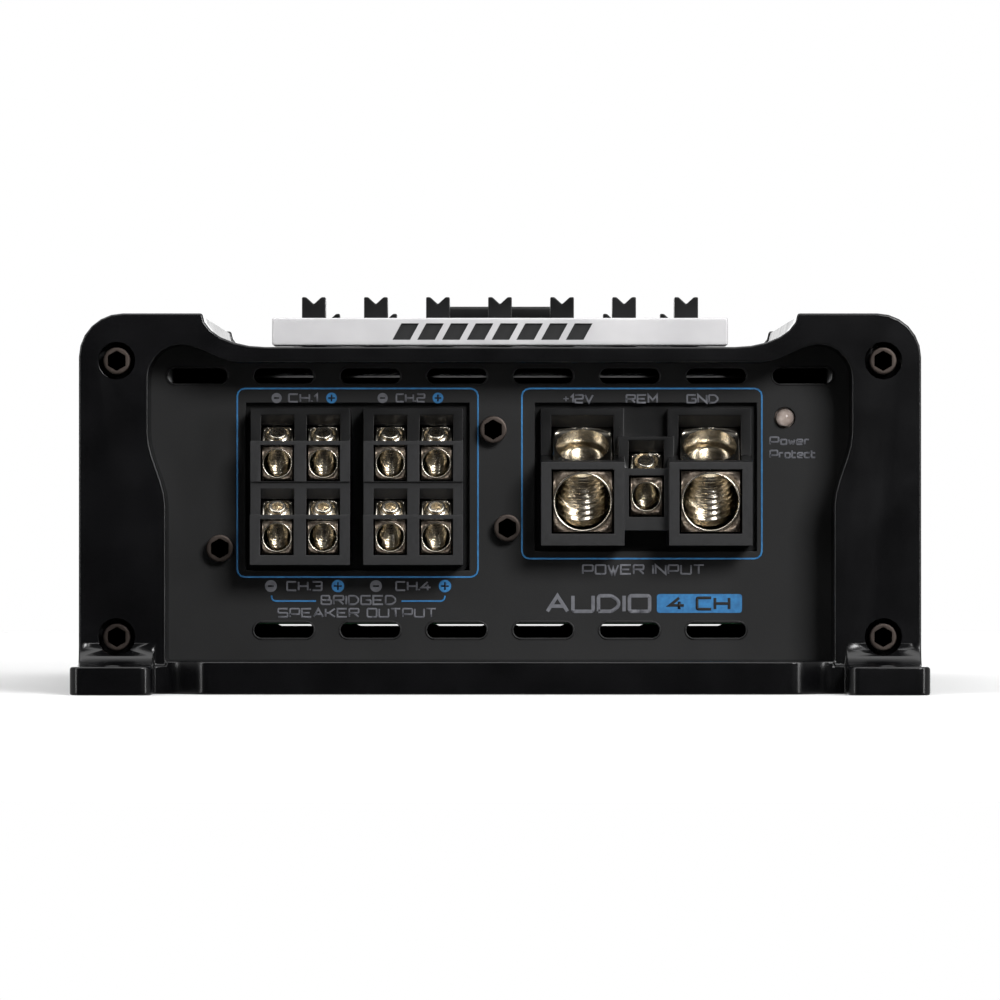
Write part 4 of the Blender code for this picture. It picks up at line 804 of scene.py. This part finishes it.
thin = Print("front")
thin.write("+", 11.67 * MM, 51.95 * MM, 0.95 * MM, 1.35 * MM)
blue.frame(-46.5 * MM, 20.41 * MM, -3.9 * MM, 53.77 * MM, 1.3 * MM)
blue.frame(3.88 * MM, 23.66 * MM, 46.34 * MM, 53.77 * MM, 1.3 * MM)
for outer, inner in ((-40.41, -32.57), (-9.77, -17.42)):
    blue.stroke([(outer * MM, 17.13 * MM), (outer * MM, 16.16 * MM), (inner * MM, 16.16 * MM)], 0.7 * MM)
blue.plate(27.76 * MM, 14.07 * MM, 42.82 * MM, 17.4 * MM, 0.5 * MM)

bold, bold_dark = Print("front"), Print("front")
bold.write("AUDIO", 17.43 * MM, 15.72 * MM, 18.1 * MM, 2.75 * MM)
bold_dark.write("4 CH", 35.29 * MM, 15.72 * MM, 10.5 * MM, 2.0 * MM)
grey.finish("grey_print", grey_ink, 0.32 * MM)
blue.finish("blue_print", blue_ink, 0.28 * MM)
thin.finish("plus_print", grey_ink, 0.22 * MM)
dark.finish("sign_print", powder, 0.27 * MM, 2)
bold.finish("name_print", grey_ink, 0.62 * MM)
bold_dark.finish("count_print", powder, 0.5 * MM, 2)

# %% [markdown]
# The signal end is printed in the same way, with the plain words that its jacks, knobs and switches need.

# %% Markings of the signal end
grey, blue = Print("rear"), Print("rear")
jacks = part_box("signal_jack_block")
# Printed places count x to the right as seen from that end, which is -X in the frame.
jack_x = (-(jacks[0].x + jacks[1].x) / 2)
knob_x = [-(sum(c.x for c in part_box(n)) / 2) for n in ("level_knob_rear", "crossover_knob_rear")]
switch_x = -(sum(c.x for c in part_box("filter_switch_rear")) / 2)
TICK = 4.8 * MM, 5.6 * MM  # a scale mark's two ends, from the knob's middle
words = (
    ("SIGNAL INPUT", jack_x, 21), ("LEVEL", knob_x[0], 8), ("CROSSOVER", knob_x[1], 14),
    ("FILTER", switch_x, 9.5),
)  # fmt: skip
for text, x, width in words:
    grey.write(text, x, 20.4 * MM, width * MM, 1.5 * MM)
for z, word in ((28.5 * MM, "CH.3 CH.4"), (43.5 * MM, "CH.1 CH.2")):
    grey.write(word.split()[0], jack_x - 8 * MM, z + 6.4 * MM, 5 * MM, 1.3 * MM)
    grey.write(word.split()[1], jack_x + 8 * MM, z + 6.4 * MM, 5 * MM, 1.3 * MM)
    for x in knob_x:
        for turn in range(-140, 141, 28):
            a = math.radians(turn)
            blue.stroke([(x + r * math.sin(a), z + r * math.cos(a)) for r in TICK])
blue.frame(jack_x - 15 * MM, 23 * MM, jack_x + 15 * MM, 52.6 * MM, 1.3 * MM)
grey.finish("signal_words", grey_ink, 0.26 * MM)
blue.finish("signal_ticks", blue_ink, 0.26 * MM)

# %% [markdown]
# ## Signal end
# Each phono jack is a nickel-plated shell round a coloured plastic core, all held in one black block behind the
# panel. Shell and core are turned rings, drawn as closed sections; the block is a box with a stepped back.

# %% Phono jacks
low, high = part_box("signal_jack_block")
margin, reach = 8 * MM, 8.5 * MM  # of a jack's axis from the block's sides, and of its shell from the panel
panel_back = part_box("signal_panel")[0].y
block = bmesh.new()
size = Vector((high.x - low.x, panel_back - 0.3 * MM - low.y, high.z - low.z))
middle = Vector(((low.x + high.x) / 2, low.y + size.y / 2, (low.z + high.z) / 2))
bmesh.ops.create_cube(block, size=1, matrix=Matrix.Translation(middle) @ Matrix.Diagonal((*size, 1)))
backs = [f for f in block.faces if f.normal.y < -0.9]
bmesh.ops.inset_region(block, faces=backs, thickness=1.2 * MM, depth=-0.8 * MM)
round_edges(block, 0.4 * MM)
settle(block, "jack_block", nylon, CASE, ["signal_jack_block"])
shell_section = [(3.3 * MM, reach - 5 * MM), (3.3 * MM, reach - 0.2 * MM), (3.5 * MM, reach)]
shell_section += [(4.0 * MM, reach), (4.2 * MM, reach - 0.2 * MM), (4.2 * MM, 1.9 * MM), (5.1 * MM, 1.6 * MM)]
shell_section += [(5.2 * MM, 0.2 * MM), (3.3 * MM, 0.2 * MM), (3.3 * MM, reach - 5 * MM)]
core_section = [(1.6 * MM, 0.4 * MM), (1.6 * MM, reach - 0.9 * MM), (1.8 * MM, reach - 0.7 * MM)]
core_section += [(3.1 * MM, reach - 0.7 * MM), (3.28 * MM, reach - 0.9 * MM), (3.28 * MM, 0.4 * MM)]
core_section += core_section[:1]
panel_out = panel_faces["rear"]
count = 0
for x, paint in ((low.x + margin, white_plastic), (high.x - margin, red_plastic)):
    for z in (low.z + margin, high.z - margin):
        count += 1
        place = pointing((0, 1, 0), (x, panel_out, z))
        settle(moved(turned(shell_section), place), f"jack_shell_{count}", nickel)
        settle(moved(turned(core_section), place), f"jack_core_{count}", paint)
print("phono jacks:", count)

# %% [markdown]
# A trimmer knob has a knurled rim for the fingertip, a dished top and a white pointer line. The rim is turned
# with an even number of steps, and every second line of corners is drawn in a little.

# %% Knobs
KNURL_STEPS, KNURL_DEPTH = 56, 0.16 * MM
SKIRT, SHAFT = 1.5 * MM, 1.5 * MM  # how far the rim goes into the panel, and the radius of the shaft
POINTER = (0.5 * MM, 0.5 * MM, 1.5 * MM)


def knob_shape(radius, reach, back, shaft_radius, shaft_back):
    edge = 0.4 * MM
    section = [(0, reach - 0.5 * MM), (radius * 0.55, reach - 0.5 * MM), (radius * 0.62, reach)]
    section += rounded((radius - edge, reach - edge), edge, 90, 0, 3)
    section += [(radius, 0.6 * MM - back), (radius - 0.3 * MM, -back), (shaft_radius, -back)]
    section += [(shaft_radius, -shaft_back), (0, -shaft_back)]
    shape = turned(section, KNURL_STEPS)
    step = 2 * math.pi / KNURL_STEPS
    for v in shape.verts:
        out = v.co.xy.length
        if out > radius - 0.42 * MM and round(math.atan2(v.co.y, v.co.x) / step) % 2:
            v.co.xy *= 1 - KNURL_DEPTH / out
    return shape


def bar_shape(size, edge):
    shape = bmesh.new()
    bmesh.ops.create_cube(shape, size=1, matrix=Matrix.Diagonal((*size, 1)))
    bmesh.ops.bevel(
        shape, geom=shape.edges[:], offset=edge, affect="EDGES", segments=3, profile=0.5, material=-1
    )
    return shape


knobs = [joint["child"] for joint in frame["joints"] if "knob" in joint["name"]]
for node in knobs:
    low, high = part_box(node)
    middle = Vector(((low.x + high.x) / 2, panel_out, (low.z + high.z) / 2))
    reach = high.y - panel_out
    shape = knob_shape((high.x - low.x) / 2, reach, SKIRT, SHAFT, panel_out - low.y)
    settle(moved(shape, pointing((0, 1, 0), middle)), "finished_" + node, package, node, [node])
    line = bar_shape(POINTER, 0.12 * MM)
    moved(line, Matrix.Translation(middle + Vector((0, reach - 0.17 * MM, 2.5 * MM))))
    settle(line, node + "_pointer", white_ink, node)
print("knobs:", len(knobs))

# %% [markdown]
# A slide switch shows only its lever: a small moulded block with ribs for the fingernail. The grooves between
# the ribs are the faces between close cuts, pushed in.

# %% Slide switch levers
GROOVE = 0.26 * MM
levers = [joint["child"] for joint in frame["joints"] if "switch" in joint["name"]]
for node in levers:
    low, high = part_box(node)
    size, middle = high - low, (low + high) / 2
    shape = bar_shape(size, 0.25 * MM)
    moved(shape, Matrix.Translation(middle))
    grooves = [middle.x + x * MM for x in (-0.9, -0.3, 0.3, 0.9)]
    for x in grooves:
        for side in (-GROOVE / 2, GROOVE / 2):
            cut_plane(shape, (x + side, 0, 0), (1, 0, 0))
    sunk = [f for f in shape.faces if f.normal.y > 0.9]
    sunk = [f for f in sunk if any(abs(f.calc_center_median().x - x) < GROOVE / 2 for x in grooves)]
    pushed = bmesh.ops.extrude_face_region(shape, geom=sunk)["geom"]
    corners = [v for v in pushed if isinstance(v, bmesh.types.BMVert)]
    bmesh.ops.translate(shape, verts=corners, vec=(0, -0.3 * MM, 0))
    bmesh.ops.delete(shape, geom=sunk, context="FACES_KEEP_BOUNDARY")
    settle(shape, "finished_" + node, package, node, [node])
print("switch levers:", len(levers))

# %% [markdown]
# ## Inside
# Little of the inside shows through the slots, but it is what makes them look deep. The boards are glass-epoxy
# laminate under solder mask. On the input board, all that stands out of the laminate is the moulded body of a
# potentiometer or a switch, so those faces get the second material.

# %% Boards
LAMINATE = 1.62 * MM  # a hair more than the thickness of the board
for node in ("main_board", "input_board"):
    board = soften(node, laminate, 0.1 * MM, 1)
    board.data.materials.append(package)
    low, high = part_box(node)
    if node == "input_board":
        for face in board.data.polygons:
            face.material_index = int(face.center.y > low.y + LAMINATE)

# %% [markdown]
# The transformer is wire wound on a ring. Single turns of wire would be a coil of many thousand faces, so a torus
# is spun instead and every second ring of it is drawn in, which gives the look of turns side by side.

# %% Transformer
WINDING_STEPS, WINDING_DEPTH = 144, 0.35 * MM
low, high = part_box("power_transformer")
middle = (low + high) / 2
tube = (high.z - low.z) / 2
ring_radius = (high.x - low.x) / 2 - tube
coil = bmesh.new()
upright = Matrix.Rotation(math.radians(90), 4, "X")
bmesh.ops.create_circle(coil, segments=14, radius=tube, matrix=upright)
bmesh.ops.translate(coil, verts=coil.verts, vec=(ring_radius, 0, 0))
about = dict(cent=(0, 0, 0), axis=UP, angle=2 * math.pi, steps=WINDING_STEPS)
bmesh.ops.spin(coil, geom=coil.verts[:] + coil.edges[:], use_merge=True, **about)
for v in coil.verts:
    if round(math.atan2(v.co.y, v.co.x) / (2 * math.pi / WINDING_STEPS)) % 2:
        heart = Vector((v.co.x, v.co.y, 0)).normalized() * ring_radius
        v.co = heart + (v.co - heart) * (1 - WINDING_DEPTH / tube)
moved(coil, Matrix.Translation(middle))
settle(coil, "wound_transformer", copper, CASE, ["power_transformer"])
print("transformer:", round(ring_radius / MM, 1), "mm to the middle of the winding")

# %% [markdown]
# The capacitors are sleeved cans with a rolled-in neck near the foot. Sleeve and can are turned as two pieces,
# because the sleeve leaves the top of the can bare.

# %% Capacitors
for node in ("filter_capacitor_1", "filter_capacitor_2"):
    low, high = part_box(node)
    radius, height = (high.x - low.x) / 2, high.z - low.z
    at_foot = Matrix.Translation(((low.x + high.x) / 2, (low.y + high.y) / 2, low.z))
    wrap = [(radius * 0.8, 0), (radius - 0.5 * MM, 0), (radius, 0.5 * MM), (radius, 3 * MM)]
    wrap += [(radius - 0.7 * MM, 3.8 * MM)]  # the neck
    wrap += [(radius, 4.6 * MM), (radius, height - 0.6 * MM), (radius - 0.6 * MM, height)]
    wrap += [(radius * 0.82, height), (radius * 0.8, height - 0.2 * MM), (radius * 0.8, 0)]
    inside, top = radius * 0.79, height - 0.35 * MM
    can = [(0, 0.1 * MM), (inside, 0.1 * MM), (inside, top), (0, top)]
    settle(moved(turned(wrap), at_foot), node + "_sleeve", sleeve, CASE, [node])
    settle(moved(turned(can), at_foot), node + "_can", can_top)
    print(node, round(2 * radius / MM, 1), "x", round(height / MM, 1), "mm")

# %% [markdown]
# The power transistors stand in a row against each side wall, and a bar of bare aluminium presses them on to it.
# Row and bar are one solid, so the faces nearest the middle of the case get the metal as a second material.

# %% Transistor banks
CLAMP_BAR = 3.3 * MM  # a hair more than the thickness of the bar
for side in ("left", "right"):
    node = "transistor_bank_" + side
    bank = soften(node, package, 0.2 * MM, 1)
    bank.data.materials.append(can_top)
    low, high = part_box(node)
    for face in bank.data.polygons:
        depth = high.x - face.center.x if side == "left" else face.center.x - low.x
        face.material_index = int(depth < CLAMP_BAR)

# %% [markdown]
# A dark sheet stands across the case in front of the input board. It is painted shade: it is what the upper slots
# look at, so most of them are dark, as the shaded inside of the case is. It starts as one outline of a few corners,
# which is extruded to its thickness.

# %% A dark sheet as painted shade inside
FIN_BASE, ROOF_THICKNESS = 5.9 * MM, 3.1 * MM  # from the cap's top down to the roof, and through the roof
board_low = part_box("input_board")[0]
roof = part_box("front_end_cap")[1].z - FIN_BASE - ROOF_THICKNESS  # the underside of the extrusion's roof
wide, foot = 62 * MM, board_low.z + 0.3 * MM
half = [(wide, foot), (wide, 53 * MM), (57 * MM, roof + 1.8 * MM), (46 * MM, roof - 0.5 * MM)]
outline = half + [(-x, z) for x, z in reversed(half)]
# A dark sheet, painted shade for the inside that the upper slots look at.
shade_sheet = bmesh.new()
sheet_y, thickness = board_low.y - 6 * MM, 0.4 * MM
shade_sheet.faces.new([shade_sheet.verts.new((x, sheet_y, z)) for x, z in outline])
pushed = bmesh.ops.extrude_face_region(shade_sheet, geom=shade_sheet.faces[:])["geom"]
behind = [v for v in pushed if isinstance(v, bmesh.types.BMVert)]
bmesh.ops.translate(shade_sheet, verts=behind, vec=(0, thickness, 0))
round_edges(shade_sheet, 0.1 * MM, 1)
settle(shade_sheet, "insulating_sheet", package)
print("inner shade sheet", round(2 * wide / MM), "mm wide at y", round(sheet_y / MM, 1), "mm")

# %% [markdown]
# ## Floor and light
# The floor is a small pale disc. It isn't seen in reflections: in a studio, a black flag laid in front of a
# black product does the same.

# %% Floor
floor_mesh = bpy.data.meshes.new("floor")
shape = bmesh.new()
bmesh.ops.create_circle(shape, cap_ends=True, segments=96, radius=0.6)
shape.to_mesh(floor_mesh)
shape.free()
floor = bpy.data.objects.new("floor", floor_mesh)
bpy.context.scene.collection.objects.link(floor)
floor_paint, tree, shader, _ = new_material("pale_floor")
shader.inputs["Base Color"].default_value = linear("#f4f4f4")
shader.inputs["Roughness"].default_value = 0.9
floor_mesh.materials.append(floor_paint)
floor.visible_glossy = False
floor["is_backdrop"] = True
print("floor:", len(floor_mesh.polygons), "face")

# %% [markdown]
# Seen directly the surroundings are white. For light and reflections they are a tent that is dark behind the
# viewer and pale at the sides, above and behind the product, so faces that look at the viewer stay black.

# %% World
world = bpy.data.worlds.new("studio")
bpy.context.scene.world = world
world.use_nodes = True
tree = world.node_tree
tree.nodes.clear()
rays = add(tree, "ShaderNodeLightPath")
seen = add(tree, "ShaderNodeBackground", {"Color": (1, 1, 1, 1), "Strength": 1.0})
look = add(tree, "ShaderNodeTexCoord").outputs["Generated"]
towards = add(tree, "ShaderNodeVectorMath", {0: look, 1: (0, -1, 0)}, operation="DOT_PRODUCT").outputs["Value"]
tent = {"Value": towards, "From Min": 0.8, "From Max": 0.25, "To Min": 0.01, "To Max": 0.36}
white = add(tree, "ShaderNodeMapRange", tent, interpolation_type="SMOOTHSTEP").outputs["Result"]
lit = add(tree, "ShaderNodeBackground", {"Color": (1, 1, 1, 1), "Strength": white})
both = add(tree, "ShaderNodeMixShader", {0: rays.outputs["Is Camera Ray"], 1: lit.outputs[0], 2: seen.outputs[0]})
add(tree, "ShaderNodeOutputWorld", {"Surface": both.outputs[0]})
print("world nodes:", len(tree.nodes))

# %% [markdown]
# A product is lit from large soft sources, with narrow ones at the sides to draw its edges. The key light stands
# low enough to look into the recess, and the panel behind the product draws its top edges.

# %% Lights
AIM = Vector((0, 0, 30 * MM))  # all of them point at the middle of the product


def softbox(name, place, power, width, height):
    data = bpy.data.lights.new(name, "AREA")
    data.energy, data.shape, data.size, data.size_y = power, "RECTANGLE", width, height
    made = bpy.data.objects.new(name, data)
    made.location = place
    made.rotation_mode = "QUATERNION"
    made.rotation_quaternion = (AIM - Vector(place)).to_track_quat("-Z", "Y")
    made.visible_camera = False
    bpy.context.scene.collection.objects.link(made)


softboxes = (  # name, place, power in watts, width and height in metres
    ("front_key", (0.45, -1.1, 0.52), 8.5, 0.4, 0.3),
    ("top_softbox", (0, -0.25, 1.0), 10, 1.6, 1.0),
    ("left_strip", (-0.9, -0.7, 0.35), 2.5, 0.12, 0.9),
    ("right_strip", (0.9, -0.7, 0.35), 4, 0.12, 0.9),
    ("back_panel", (0, 1.3, 0.4), 9, 1.8, 0.8),
)
for settings in softboxes:
    softbox(*settings)
print("lights:", len(softboxes))

# %% [markdown]
# ## Sizes
# The box of the finished model, without the floor, is measured and printed in millimetres.

# %% Sizes, and the end
low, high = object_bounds()
print("finished size:", [round(x / MM, 2) for x in high - low], "mm")
